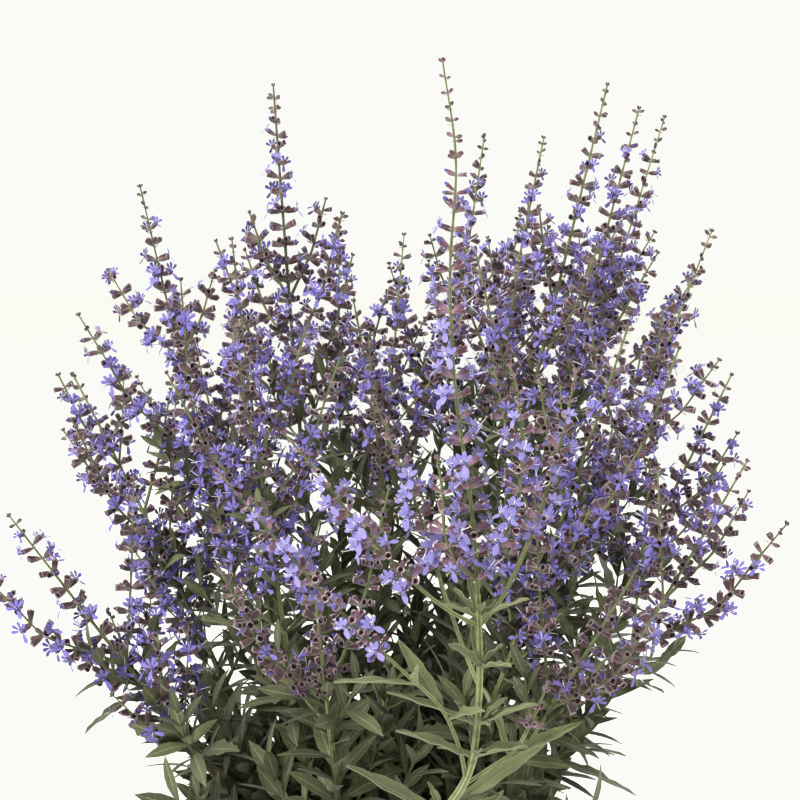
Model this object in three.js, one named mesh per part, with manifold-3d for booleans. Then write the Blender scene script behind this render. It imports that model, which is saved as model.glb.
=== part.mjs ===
// Potted Russian sage: a bush of branching flower stems in a plain round nursery pot.
// Millimetres, +Z up. The origin is the middle of the pot's base, on the surface it stands on.
// One tall stem leans out over the front rim (-Y); the others fan out behind it. The soil and the
// plant are modelled from the level of the soil, and one group then lifts both into the pot.

import * as THREE from "three";
import { mergeVertices } from "three/addons/utils/BufferGeometryUtils.js";
import Module from "manifold-3d";

const wasm = await Module();
wasm.setup();

const { Vector3 } = THREE;
const TURN = 2 * Math.PI;
const DEGREE = TURN / 360;
const UP = new Vector3(0, 0, 1);

// The pot: a tapered nursery pot with an outward lip and drain slots at the foot of its wall
const POT_HEIGHT = 138;
const RIM_RADIUS = 82.5;
const LIP_HEIGHT = 14;
const LIP_OUT = 4.5;
const LIP_ROUND = 1.2;
const FOOT_RADIUS = 62;
const FOOT_CHAMFER = 2;
const WALL = 1.8;
const FLOOR = 2.4;
const POT_SIDES = 40;
const DRAIN_SLOTS = 6;
const DRAIN_WIDTH = 13;
const DRAIN_HEIGHT = 7;
const DRAIN_DEPTH = 12;

// The potting soil: its top is crumbly and lies below the rim
const SOIL_LEVEL = 122;
const SOIL_SIDES = 20;
const SOIL_RINGS = [54, 26];
const SOIL_EDGE_DROP = 3;
const SOIL_LUMP = 1.6;
const GAP = 0.3;

// The stems are square, as in the mint family, and their slender spikes three-sided
const STEM_SIDES = 4;
const SPIKE_SIDES = 3;
const STEM_DEPTH = 12;
const COLLAR = 4;
const STEM_RADIUS_LOW = 2.2;
const STEM_RADIUS_HIGH = 1.2;
const BRANCH_RADIUS = 1.2;
const TIP_RADIUS = 0.6;
const STEM_STEP = 28;
const ROOT_SHARE = 0.25;
const BOW = 5;

// The leaves stand in crossed pairs along the lower half of each stem. The margin lists the
// points of one side of the blade, along it and out from its rib, as shares of length and width.
const LEAF_FROM = 24;
const LEAF_STEP = 36;
const LEAF_BELOW_HEAD = 8;
const LEAF_NODE = 2.6;
const LEAF_LENGTH_LOW = 50;
const LEAF_LENGTH_HIGH = 32;
const LEAF_LENGTH_SPREAD = [0.85, 1.12];
const LEAF_WIDTH_SHARE = 0.32;
const LEAF_LIFT = [18 * DEGREE, 46 * DEGREE];
const LEAF_DROOP = [0.08, 0.3];
const FRONT_LEAF_DROOP = 0.1;
const LEAF_THICKNESS = 1.2;
const LEAF_FOLD = 0.2;
const LEAF_MARGIN = [[0.36, 0.5], [0.5, 0.34], [0.66, 0.44]];
const LEAF_WAIST = 2;
const LEAF_RIB = [0.34, 0.64];

// The flower whorls stand closer together towards the tip, each turned from the one below
const FLOWERS_FROM_SHARE = 0.55;
const WHORL_PITCH = 25;
const WHORL_CROWDING = 0.75;
const WHORL_HEIGHT = 3.6;
const WHORL_TWIST = 37 * DEGREE;
const FLORET_REACH = [10, 4.5];
const FLORET_SPREAD = [9, 4];
const FLORET_SLIMMING = 1.6;
const FLORET_RISE = 24 * DEGREE;
const BARE_TIP = 5;

// The side spikes rise from the lower part of each flowering head, from just off its middle line
const SIDE_FIRST = 7;
const SIDE_STEP = 27;
const SIDE_LENGTH = 92;
const SIDE_LENGTH_SPREAD = [0.85, 1.1];
const SIDE_SHRINK = 0.76;
const SIDE_ANGLE = 46 * DEGREE;
const SIDE_RISE = 0.3;
const SIDE_LIFT = 0.55;
const SIDE_BARE = 15;
const SIDE_RADIUS = 0.8;
const SIDE_START = 0.5;
const BRANCH_BARE = 4;

// What would cross another stem is turned about its own stem, then shortened, until it is clear
const TURNS = [0, 24, -24, 48, -48, 72, -72].map((angle) => angle * DEGREE);
const SHRINKS = [1, 0.8, 0.62];
const CLEARANCE = 0.7;
const BALL_STEP = 5;

// Each background stem: its tip, as X, Y and height above the soil, how it bends on the way (under
// 1 it leans out first and then turns up, over 1 it rises first) and its pairs of side spikes
const STEMS = [
  { tip: [-39, 25, 361], bend: 1.15, pairs: 3 },
  { tip: [-101, 15, 313], bend: 1.0, pairs: 3 },
  { tip: [-52, -36, 287], bend: 0.9, pairs: 2 },
  { tip: [-11, 90, 300], bend: 1.0, pairs: 2 },
  { tip: [23, 32, 291], bend: 1.2, pairs: 2 },
  { tip: [68, 138, 349], bend: 1.0, pairs: 3 },
  { tip: [94, 70, 341], bend: 0.95, pairs: 3 },
  { tip: [117, 10, 359], bend: 0.9, pairs: 3 },
  { tip: [163, 112, 356], bend: 0.95, pairs: 2 },
  { tip: [160, -20, 291], bend: 0.85, pairs: 3 },
  { tip: [183, 34, 223], bend: 0.8, pairs: 2 },
  { tip: [170, -52, 192], bend: 0.75, pairs: 2 },
  { tip: [-141, 42, 223], bend: 1.15, pairs: 3 },
  { tip: [-148, -50, 168], bend: 1.05, pairs: 1 },
  { tip: [118, -84, 152], bend: 0.8, pairs: 1 },
  { tip: [-98, 132, 251], bend: 1.0, pairs: 2 },
  { tip: [16, 166, 235], bend: 0.95, pairs: 2 },
  { tip: [-14, -100, 158], bend: 0.9, pairs: 1 },
  { tip: [137, 40, 352], bend: 0.9, pairs: 3 },
  { tip: [85, 100, 303], bend: 0.95, pairs: 3 },
  { tip: [120, -42, 250], bend: 0.85, pairs: 2 },
];

// The front stem, point by point from the soil to its tip, and the branches that leave it
const FRONT_AXIS = [
  [12, -40, -12],
  [14, -46, 0],
  [22, -70, 27],
  [36, -103, 54],
  [47, -131, 83],
  [50, -141, 113],
  [50, -141, 142],
  [47, -140, 186],
  [41, -140, 229],
  [39, -140, 271],
  [41, -140, 311],
  [36, -140, 347],
];
const FRONT_HEAD_FROM = 152;
const FRONT_BRANCHES = {
  spike_low_left: {
    points: [[46, -129, 80], [43, -137, 95], [36, -143, 112], [24, -147, 125], [5, -150, 144],
      [-15, -151, 166], [-30, -150, 184], [-45, -148, 201]],
    stalk: 66,
  },
  spike_mid_left: {
    points: [[50, -141, 142], [37, -145, 150], [21, -150, 165], [1, -151, 188], [-10, -150, 202],
      [-21, -149, 215]],
    stalk: 28,
  },
  spike_upper_left: {
    points: [[50, -141, 120], [44, -135, 134], [36, -130, 157], [27, -128, 185], [19, -128, 205],
      [11, -129, 226]],
    stalk: 42,
  },
  spike_right: {
    points: [[50, -141, 142], [59, -136, 152], [69, -131, 172], [77, -130, 194], [82, -131, 215],
      [86, -132, 236]],
    stalk: 36,
  },
  young_shoot: {
    points: [[45, -126, 76], [55, -131, 85], [64, -137, 94], [70, -139, 106], [76, -140, 121]],
    stalk: 36,
  },
};
const FRONT_HEAD_SPIKES = [
  [[49, -140, 162], [56, -143, 171], [63, -145, 186], [65, -145, 207], [63, -145, 229], [60, -145, 239]],
  [[49, -140, 159], [42, -149, 167], [37, -154, 179], [36, -155, 194], [34, -155, 207]],
];
// The front stem's leaves, by the height of their node on it or on the branch named
const FRONT_LEAVES = [
  { height: 32, tip: [61, -86, 57], width: 10 },
  { height: 32, tip: [-10, -96, 59], width: 9.5 },
  { height: 56, tip: [79, -108, 89], width: 8 },
  { height: 56, tip: [3, -124, 82], width: 8 },
  { height: 87, tip: [22, -150, 107], width: 8.5 },
  { height: 87, tip: [66, -152, 103], width: 9 },
  { height: 103, tip: [18, -143, 121], width: 7 },
  { height: 103, tip: [69, -148, 117], width: 6.5 },
  { height: 124, tip: [40, -158, 142], width: 8 },
  { height: 124, tip: [61, -160, 135], width: 7 },
  { height: 144, tip: [36, -155, 156], width: 5.5 },
  { height: 144, tip: [66, -152, 157], width: 5.5 },
  { on: "spike_low_left", height: 106, tip: [22, -133, 136], width: 8 },
  { on: "spike_low_left", height: 106, tip: [50, -160, 119], width: 6.5 },
  { on: "spike_low_left", height: 121, tip: [-2, -153, 127], width: 5.5 },
  { on: "spike_low_left", height: 121, tip: [26, -167, 137], width: 5.5 },
  { on: "young_shoot", height: 91, tip: [88, -136, 105], width: 6 },
  { on: "young_shoot", height: 91, tip: [54, -127, 115], width: 6.5 },
];

const FINISHES = {
  leaf: { color: 0x7d8a5c, roughness: 0.75, metalness: 0 },
  flower: { color: 0x8379b8, roughness: 0.7, metalness: 0 },
  pot: { color: 0x1d1e20, roughness: 0.45, metalness: 0 },
  soil: { color: 0x33281f, roughness: 0.95, metalness: 0 },
};

// Draws from 0 to 1, the same list for the same seed each time
function seeded(seed) {
  let state = seed;
  return () => {
    state = (state * 1664525 + 1013904223) % 4294967296;
    return state / 4294967296;
  };
}

const mix = (a, b, share) => a + (b - a) * share;
const between = ([low, high], draw) => mix(low, high, draw());
const vector = (point) => new Vector3(...point);

// A smooth line through points, read by its length from the first point. Its turn is the angle
// about it at which its first side faces.
class Line {
  static DIVISIONS = 96;

  constructor(points, turn = 0) {
    const curve = new THREE.CatmullRomCurve3(points.map(vector), false, "catmullrom", 0.5);
    this.samples = curve.getPoints(Line.DIVISIONS);
    this.lengths = [0];
    for (let i = 1; i < this.samples.length; i++)
      this.lengths.push(this.lengths[i - 1] + this.samples[i].distanceTo(this.samples[i - 1]));
    this.length = this.lengths.at(-1);
    const chord = this.samples.at(-1).clone().sub(this.samples[0]);
    this.side = new Vector3(chord.y, -chord.x, 0).normalize();
    this.turn = turn;
  }

  // The point at a length, on past either end too
  at(distance) {
    let i = 1;
    while (i < this.lengths.length - 1 && this.lengths[i] < distance) i++;
    const share = (distance - this.lengths[i - 1]) / (this.lengths[i] - this.lengths[i - 1]);
    return this.samples[i - 1].clone().lerp(this.samples[i], share);
  }

  // The direction along the line, a direction out of it at an angle, and the one beside that
  frame(distance, angle = 0) {
    const along = this.at(distance + 1).sub(this.at(distance - 1)).normalize();
    const across = this.side.clone().addScaledVector(along, -this.side.dot(along)).normalize();
    const third = along.clone().cross(across);
    const out = across.multiplyScalar(Math.cos(angle + this.turn));
    out.addScaledVector(third, Math.sin(angle + this.turn));
    return { along, out, beside: along.clone().cross(out) };
  }

  // The angle about the line of a direction
  angleOf(distance, direction) {
    const { out, beside } = this.frame(distance);
    return Math.atan2(direction.dot(beside), direction.dot(out));
  }

  // How far along the line it first passes a height
  whereHeightIs(height) {
    return this.lengths[this.samples.findIndex((point) => point.z >= height)];
  }
}

// A blade that arches along its rib and folds up a little to either side of it
class Leaf {
  constructor(line, distance, direction, length, width, droop) {
    const { along } = line.frame(distance);
    this.root = line.at(distance);
    this.along = direction.clone().normalize();
    this.normal = along.addScaledVector(this.along, -this.along.dot(along)).normalize();
    this.across = this.normal.clone().cross(this.along);
    this.angle = line.angleOf(distance, this.along);
    Object.assign(this, { length, width, droop });
  }

  point(u, v, height) {
    const rise = height + Math.abs(v) * this.width * LEAF_FOLD - this.droop * this.length * u * u;
    return this.root
      .clone()
      .addScaledVector(this.along, u * this.length)
      .addScaledVector(this.across, v * this.width)
      .addScaledVector(this.normal, rise);
  }

  balls() {
    return [0.32, 0.5, 0.68, 0.95].map((u) => ({
      centre: this.point(u, 0, 0),
      radius: u < 0.9 ? this.width * 0.45 : 1.5,
    }));
  }
}

// The vertices and triangles of one closed surface
class Surface {
  positions = [];
  triangles = [];

  vertex(point) {
    this.positions.push(point.x, point.y, point.z);
    return this.positions.length / 3 - 1;
  }

  triangle(a, b, c) {
    this.triangles.push(a, b, c);
  }

  quad(a, b, c, d) {
    this.triangle(a, b, c);
    this.triangle(a, c, d);
  }

  // Raises a floret from the face a, b, c, d of a spike: it widens outwards to its lip
  floret([a, b, c, d], centre, { along, out, beside }, reach, spread) {
    const mouth = centre
      .clone()
      .addScaledVector(out, reach * Math.cos(FLORET_RISE))
      .addScaledVector(along, reach * Math.sin(FLORET_RISE));
    const left = this.vertex(mouth.clone().addScaledVector(beside, -spread / 2));
    const right = this.vertex(mouth.clone().addScaledVector(beside, spread / 2));
    this.quad(a, b, right, left);
    this.quad(left, right, c, d);
    this.triangle(b, c, right);
    this.triangle(d, a, left);
  }

  // Raises a toothed leaf from the face a, b, c, d of a stem. Both sides of its blade share one
  // outline and one split into triangles, so they never cross.
  leaf([a, b, c, d], leaf) {
    const right = LEAF_MARGIN.map(([u, v]) => this.vertex(leaf.point(u, v, 0)));
    const left = LEAF_MARGIN.map(([u, v]) => this.vertex(leaf.point(u, -v, 0)));
    const tip = this.vertex(leaf.point(1, 0, 0));
    const waistRight = LEAF_MARGIN.length + 1 - LEAF_WAIST;
    const waistLeft = LEAF_MARGIN.length + 2 + LEAF_WAIST;
    for (const [face, rootRight, rootLeft] of [[1, c, d], [-1, b, a]]) {
      const [low, high] = LEAF_RIB.map((u) => this.vertex(leaf.point(u, 0, (face * LEAF_THICKNESS) / 2)));
      const loop = [tip, ...right.toReversed(), rootRight, rootLeft, ...left];
      const facet = (p, q, r) => (face > 0 ? this.triangle(p, q, r) : this.triangle(q, p, r));
      loop.forEach((p, i) => {
        const centre = i >= waistRight && i < waistLeft ? low : high;
        facet(p, loop[(i + 1) % loop.length], centre);
      });
      facet(low, loop[waistLeft], high);
      facet(loop[waistRight], low, high);
    }
    this.triangle(b, c, right[0]);
    this.triangle(d, a, left[0]);
  }

  solid() {
    const geometry = new THREE.BufferGeometry();
    geometry.setAttribute("position", new THREE.Float32BufferAttribute(this.positions, 3));
    geometry.setIndex(this.triangles);
    return toSolid(geometry);
  }
}

function toSolid(geometry) {
  const bare = geometry.clone();
  bare.deleteAttribute("normal");
  bare.deleteAttribute("uv");
  const merged = mergeVertices(bare, 1e-4);
  return new wasm.Manifold(
    new wasm.Mesh({
      numProp: 3,
      vertProperties: new Float32Array(merged.attributes.position.array),
      triVerts: new Uint32Array(merged.index.array),
    }),
  );
}

function toMesh(name, solid, finish) {
  const { numProp, numVert, vertProperties, triVerts } = solid.getMesh();
  const points = new Float32Array(numVert * 3);
  for (let i = 0; i < numVert; i++)
    points.set(vertProperties.subarray(i * numProp, i * numProp + 3), i * 3);
  const geometry = new THREE.BufferGeometry();
  geometry.setAttribute("position", new THREE.BufferAttribute(points, 3));
  geometry.setIndex(new THREE.BufferAttribute(new Uint32Array(triVerts), 1));
  geometry.computeVertexNormals();
  const mesh = new THREE.Mesh(geometry, new THREE.MeshStandardMaterial(finish));
  mesh.name = name;
  return mesh;
}

// The lengths at which a stem has rings of vertices, two about each node that bears something.
// A rooted stem is straight as far as its collar, just above the soil.
function ringStops(from, to, nodes, collar) {
  const stops = collar ? [from, collar] : [from];
  const nodeAfter = new Map();
  const runTo = (end) => {
    const start = stops.at(-1);
    const count = Math.max(1, Math.round((end - start) / STEM_STEP));
    for (let i = 1; i <= count; i++) stops.push(mix(start, end, i / count));
  };
  for (const node of nodes) {
    runTo(node.at - node.height / 2);
    nodeAfter.set(stops.length - 1, node);
    stops.push(node.at + node.height / 2);
  }
  runTo(to);
  return { stops, nodeAfter };
}

// A stem along a line. A node turns the stem's faces, and raises florets or leaves from them.
function stemSolid({ line, from, to, sides, radii, nodes = [], collar = 0, pointed = false }) {
  const surface = new Surface();
  const { stops, nodeAfter } = ringStops(from, to, nodes, collar);
  const firstAngle = TURN / sides / 2;
  const turnAt = (i) => nodeAfter.get(i)?.turn ?? nodeAfter.get(i - 1)?.turn ?? 0;
  if (pointed) stops.pop();
  const rings = stops.map((stop, i) => {
    const radius = mix(radii[0], radii[1], (stop - from) / (to - from));
    return Array.from({ length: sides }, (_, corner) => {
      const { out } = line.frame(stop, turnAt(i) + firstAngle + (corner / sides) * TURN);
      return surface.vertex(line.at(stop).addScaledVector(out, radius));
    });
  });
  rings.slice(0, -1).forEach((ring, i) => {
    const node = nodeAfter.get(i);
    const free = new Set(ring.keys());
    const faceOf = (side) => {
      const next = (side + 1) % sides;
      return [ring[side], ring[next], rings[i + 1][next], rings[i + 1][side]];
    };
    const angleOf = (side) => turnAt(i) + ((side + 1) / sides) * TURN;
    for (const leaf of node?.leaves ?? []) {
      const nearest = [...free].sort(
        (one, other) => Math.cos(leaf.angle - angleOf(other)) - Math.cos(leaf.angle - angleOf(one)),
      )[0];
      free.delete(nearest);
      surface.leaf(faceOf(nearest), leaf);
    }
    for (const side of free)
      if (node?.reach) {
        const frame = line.frame(node.at, angleOf(side));
        surface.floret(faceOf(side), line.at(node.at), frame, node.reach, node.spread);
      } else surface.quad(...faceOf(side));
  });
  closeEnds(surface, rings, pointed ? line.at(to) : null);
  return surface.solid();
}

function closeEnds(surface, rings, point) {
  const foot = rings[0];
  const top = rings.at(-1);
  for (let i = 1; i + 1 < foot.length; i++) surface.triangle(foot[0], foot[i + 1], foot[i]);
  if (point) {
    const apex = surface.vertex(point);
    top.forEach((corner, i) => surface.triangle(corner, top[(i + 1) % top.length], apex));
  } else {
    for (let i = 1; i + 1 < top.length; i++) surface.triangle(top[0], top[i], top[i + 1]);
  }
}

// How far a whorl's florets stand out: less and less towards the tip of its spike
const floretSize = ([low, tip], share) => mix(low, tip, share ** FLORET_SLIMMING);

// A flower spike: a slender stem with whorls of florets that crowd towards its tip
function spike(line, from, to, bare, radiusLow) {
  const first = from + bare;
  const run = to - BARE_TIP - first;
  const count = Math.max(2, Math.floor(run / WHORL_PITCH) + 1);
  const nodes = Array.from({ length: count }, (_, i) => {
    const share = i / (count - 1);
    return {
      at: first + run * mix(share, Math.sin((share * TURN) / 4), 1 - WHORL_CROWDING),
      height: WHORL_HEIGHT,
      turn: i * WHORL_TWIST,
      reach: floretSize(FLORET_REACH, share),
      spread: floretSize(FLORET_SPREAD, share),
    };
  });
  const radii = [radiusLow, TIP_RADIUS];
  return stemSolid({ line, from, to, sides: SPIKE_SIDES, radii, nodes, pointed: true });
}

// Balls that stand for what is already placed, so that the next leaf or spike keeps clear of it
class Room {
  balls = [];

  add(owner, balls) {
    for (const ball of balls) this.balls.push({ owner, ...ball });
  }

  isClear(owners, balls) {
    const others = this.balls.filter((ball) => !owners.includes(ball.owner));
    return balls.every(
      ({ centre, radius }) =>
        clearOfPot(centre, radius) &&
        others.every((other) => other.centre.distanceTo(centre) >= other.radius + radius + CLEARANCE),
    );
  }
}

function clearOfPot(centre, radius) {
  const reach = Math.hypot(centre.x, centre.y) + radius;
  const overSoil = centre.z - radius > SOIL_LUMP;
  const overRim = centre.z - radius > POT_HEIGHT - SOIL_LEVEL;
  return overRim || (overSoil && reach < RIM_RADIUS - LIP_OUT - WALL);
}

function stemBalls(line, from, to, radius) {
  const count = Math.ceil((to - from) / BALL_STEP);
  return Array.from({ length: count + 1 }, (_, i) => {
    const centre = line.at(mix(from, to, i / count));
    return { centre, radius };
  });
}

function spikeBalls(line, from, to) {
  return stemBalls(line, from, to, 0).map(({ centre }, i, { length }) => ({
    centre,
    radius: floretSize(FLORET_REACH, i / (length - 1)),
  }));
}

// Where a background stem runs: straight up through the soil, then out to its tip
function stemLine({ tip, bend }, draw) {
  const sway = [mix(-BOW, BOW, draw()), mix(-BOW, BOW, draw())];
  const at = (share) => {
    const lean = mix(ROOT_SHARE, 1, share ** bend);
    const bow = Math.sin((share * TURN) / 2);
    return [tip[0] * lean + sway[0] * bow, tip[1] * lean + sway[1] * bow, tip[2] * share];
  };
  const start = at(0);
  const later = at(0.12);
  const depth = STEM_DEPTH / (later[2] - start[2]);
  const foot = start.map((value, i) => value - (later[i] - value) * depth);
  return new Line([foot, start, later, at(0.35), at(0.6), at(0.82), at(1)], draw() * TURN);
}

// A side spike's line: out from the stem at an angle, then curving up
function sideLine(line, distance, angle, length) {
  const { along, out } = line.frame(distance, angle);
  const start = line.at(distance);
  const away = along.multiplyScalar(Math.cos(SIDE_ANGLE)).addScaledVector(out, Math.sin(SIDE_ANGLE));
  away.addScaledVector(UP, SIDE_RISE).normalize();
  const later = away.clone().addScaledVector(UP, SIDE_LIFT).normalize();
  const middle = start.clone().addScaledVector(away, length / 2);
  const end = middle.clone().addScaledVector(later, length / 2);
  const points = [start, start.clone().lerp(middle, 0.5), middle, middle.clone().lerp(end, 0.5), end];
  return new Line(points.map((point) => point.toArray()));
}

// The first turn and size at which a leaf or spike is clear of the other stems, if any is
function firstClear(owners, make, ballsOf) {
  for (const shrink of SHRINKS)
    for (const turn of TURNS) {
      const made = make(turn, shrink);
      if (room.isClear(owners, ballsOf(made))) return made;
    }
  return null;
}

// A node with a pair of leaves, turned a quarter from the last pair. A leaf with no room is left out.
function leafPair(plant, index, count) {
  const { line, soilAt, headFrom, draw } = plant;
  const share = index / (count - 1);
  const at = mix(soilAt + LEAF_FROM, headFrom - LEAF_BELOW_HEAD, share);
  const leaves = [0, TURN / 2].map((half) => {
    const full = mix(LEAF_LENGTH_LOW, LEAF_LENGTH_HIGH, share) * between(LEAF_LENGTH_SPREAD, draw);
    const lift = between(LEAF_LIFT, draw);
    const droop = between(LEAF_DROOP, draw);
    const make = (turn, shrink) => {
      const { along, out } = line.frame(at, (index * TURN) / 4 + half + turn);
      const direction = out.multiplyScalar(Math.cos(lift)).addScaledVector(along, Math.sin(lift));
      const length = full * shrink;
      return new Leaf(line, at, direction, length, length * LEAF_WIDTH_SHARE, droop);
    };
    const leaf = firstClear([plant.stem, plant.joint], make, (made) => made.balls());
    if (leaf) room.add("leaves", leaf.balls());
    return leaf;
  });
  return { at, height: LEAF_NODE, leaves: leaves.filter(Boolean) };
}

// The pair of side spikes that rises from a flowering head
function sidePair(plant, index) {
  const { line, headFrom, draw } = plant;
  const distance = headFrom + SIDE_FIRST + index * SIDE_STEP;
  return [0, TURN / 2].map((half) => {
    const length = SIDE_LENGTH * SIDE_SHRINK ** index * between(SIDE_LENGTH_SPREAD, draw);
    const angle = (index * TURN) / 4 + half;
    const make = (turn, shrink) => sideLine(line, distance, angle + turn, length * shrink);
    const side = firstClear([plant.head, plant.joint], make, (made) =>
      spikeBalls(made, SIDE_BARE, made.length),
    );
    if (side) room.add(plant.head, spikeBalls(side, SIDE_BARE, side.length));
    return side;
  });
}

// The background stems' lines come first, then their side spikes, then their leaves
const room = new Room();
const plants = STEMS.map((stem, i) => {
  const draw = seeded(101 + 37 * i);
  const line = stemLine(stem, draw);
  const soilAt = line.whereHeightIs(0);
  const headFrom = mix(soilAt, line.length, FLOWERS_FROM_SHARE);
  const name = `stem_${String(i + 1).padStart(2, "0")}`;
  const names = { stem: `${name}_leaves`, head: `${name}_flowers`, joint: `${name}_joint` };
  room.add(names.stem, stemBalls(line, soilAt, headFrom - BALL_STEP, STEM_RADIUS_LOW));
  room.add(names.joint, stemBalls(line, headFrom, headFrom + SIDE_BARE, STEM_RADIUS_LOW));
  room.add(names.head, spikeBalls(line, headFrom + SIDE_BARE, line.length));
  return { ...names, line, soilAt, headFrom, pairs: stem.pairs, draw };
});

const frontLine = new Line(FRONT_AXIS);
const frontHeadFrom = frontLine.whereHeightIs(FRONT_HEAD_FROM);
const frontBranches = Object.entries(FRONT_BRANCHES).map(([name, { points, stalk }]) => ({
  name,
  stalk,
  line: new Line(points),
}));
const frontHeadSpikes = FRONT_HEAD_SPIKES.map((points) => new Line(points));
room.add("front", stemBalls(frontLine, 0, frontHeadFrom, STEM_RADIUS_LOW));
room.add("front", spikeBalls(frontLine, frontHeadFrom, frontLine.length));
for (const { line, stalk } of frontBranches) {
  room.add("front", stemBalls(line, 0, stalk, BRANCH_RADIUS));
  room.add("front", spikeBalls(line, stalk, line.length));
}
for (const line of frontHeadSpikes) room.add("front", spikeBalls(line, SIDE_BARE, line.length));

// The leaf nodes of the front stem, or of the branch named
function frontLeafNodes(line, name) {
  const leaves = FRONT_LEAVES.filter((leaf) => leaf.on === name);
  const heights = [...new Set(leaves.map((leaf) => leaf.height))];
  return heights.map((height) => {
    const at = line.whereHeightIs(height);
    const here = leaves.filter((leaf) => leaf.height === height);
    const made = here.map(({ tip, width }) => {
      const direction = vector(tip).sub(line.at(at));
      return new Leaf(line, at, direction, direction.length(), width, FRONT_LEAF_DROOP);
    });
    for (const leaf of made) room.add("front", leaf.balls());
    return { at, height: LEAF_NODE, leaves: made };
  });
}

const frontNodes = frontLeafNodes(frontLine, undefined);
for (const branch of frontBranches) branch.nodes = frontLeafNodes(branch.line, branch.name);

for (const plant of plants)
  plant.sides = Array.from({ length: plant.pairs }, (_, i) => sidePair(plant, i)).flat().filter(Boolean);
for (const plant of plants) {
  const run = plant.headFrom - LEAF_BELOW_HEAD - plant.soilAt - LEAF_FROM;
  const count = Math.max(2, Math.floor(run / LEAF_STEP) + 1);
  plant.nodes = Array.from({ length: count }, (_, i) => leafPair(plant, i, count));
}

// The length at which a rooted stem is well clear of the soil
const collarOf = (line) => line.whereHeightIs(0) + COLLAR;

// The green, leafy lower part of a background stem
const leafyStem = ({ line, headFrom, nodes }) =>
  stemSolid({
    line,
    from: 0,
    to: headFrom,
    sides: STEM_SIDES,
    radii: [STEM_RADIUS_LOW, STEM_RADIUS_HIGH],
    nodes,
    collar: collarOf(line),
  });

// The flowering head above it, with its side spikes
const floweringHead = (line, headFrom, sides) =>
  wasm.Manifold.union([
    spike(line, headFrom + GAP, line.length, SIDE_BARE, STEM_RADIUS_HIGH),
    ...sides.map((side) => spike(side, SIDE_START, side.length, SIDE_BARE, SIDE_RADIUS)),
  ]);

// The front stem's leafy part, with the stalks of its branches
function frontLeafyStem() {
  const radii = [BRANCH_RADIUS, BRANCH_RADIUS];
  const stalks = frontBranches.map(({ line, stalk, nodes }) =>
    stemSolid({ line, from: 0, to: stalk, sides: STEM_SIDES, radii, nodes }),
  );
  const stem = leafyStem({ line: frontLine, headFrom: frontHeadFrom, nodes: frontNodes });
  return wasm.Manifold.union([stem, ...stalks]);
}

// The radius inside the pot's wall at a height
function insideRadius(height) {
  const wallTop = POT_HEIGHT - LIP_HEIGHT;
  return mix(FOOT_RADIUS, RIM_RADIUS - LIP_OUT, Math.min(height / wallTop, 1)) - WALL;
}

function pot() {
  const wallTop = POT_HEIGHT - LIP_HEIGHT;
  const profile = [
    [0, 0],
    [FOOT_RADIUS - FOOT_CHAMFER, 0],
    [FOOT_RADIUS, FOOT_CHAMFER],
    [RIM_RADIUS - LIP_OUT, wallTop],
    [RIM_RADIUS, wallTop],
    [RIM_RADIUS, POT_HEIGHT - LIP_ROUND],
    [RIM_RADIUS - LIP_ROUND, POT_HEIGHT],
    [insideRadius(POT_HEIGHT), POT_HEIGHT],
    [insideRadius(wallTop), wallTop],
    [insideRadius(FLOOR), FLOOR],
    [0, FLOOR],
  ].map(([radius, height]) => new THREE.Vector2(radius, height));
  const shell = toSolid(new THREE.LatheGeometry(profile, POT_SIDES).rotateX(TURN / 4));
  const slots = Array.from({ length: DRAIN_SLOTS }, (_, i) => {
    const slot = new THREE.BoxGeometry(DRAIN_DEPTH, DRAIN_WIDTH, DRAIN_HEIGHT * 2);
    return toSolid(slot.translate(FOOT_RADIUS, 0, 0).rotateZ(((i + 0.5) / DRAIN_SLOTS) * TURN));
  });
  return shell.subtract(wasm.Manifold.union(slots));
}

function soil(lines) {
  const surface = new Surface();
  const lump = (radius, angle) =>
    SOIL_LUMP * Math.sin(radius * 0.19 + 2 * angle) * Math.cos(radius * 0.11 - 3 * angle);
  const ring = (radius, height) =>
    Array.from({ length: SOIL_SIDES }, (_, i) => {
      const angle = (i / SOIL_SIDES) * TURN;
      const z = height ?? lump(radius, angle);
      return surface.vertex(new Vector3(radius * Math.cos(angle), radius * Math.sin(angle), z));
    });
  const flat = Math.cos(Math.PI / POT_SIDES);
  const inside = (height) => insideRadius(SOIL_LEVEL + height) * flat - GAP;
  const bottom = FLOOR + GAP - SOIL_LEVEL;
  const edge = -SOIL_EDGE_DROP;
  const rings = [ring(inside(bottom), bottom), ring(inside(edge), edge), ...SOIL_RINGS.map((r) => ring(r))];
  const middle = surface.vertex(new Vector3(0, 0, 0));
  const under = surface.vertex(new Vector3(0, 0, bottom));
  for (let i = 0; i < SOIL_SIDES; i++) {
    const j = (i + 1) % SOIL_SIDES;
    for (let k = 0; k + 1 < rings.length; k++)
      surface.quad(rings[k][i], rings[k][j], rings[k + 1][j], rings[k + 1][i]);
    surface.triangle(rings[0][j], rings[0][i], under);
    surface.triangle(rings.at(-1)[i], rings.at(-1)[j], middle);
  }
  const radius = STEM_RADIUS_LOW + GAP * Math.SQRT2;
  const holes = lines.map((line) =>
    stemSolid({ line, from: -GAP, to: collarOf(line), sides: STEM_SIDES, radii: [radius, radius] }),
  );
  return surface.solid().subtract(wasm.Manifold.union(holes));
}

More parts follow.
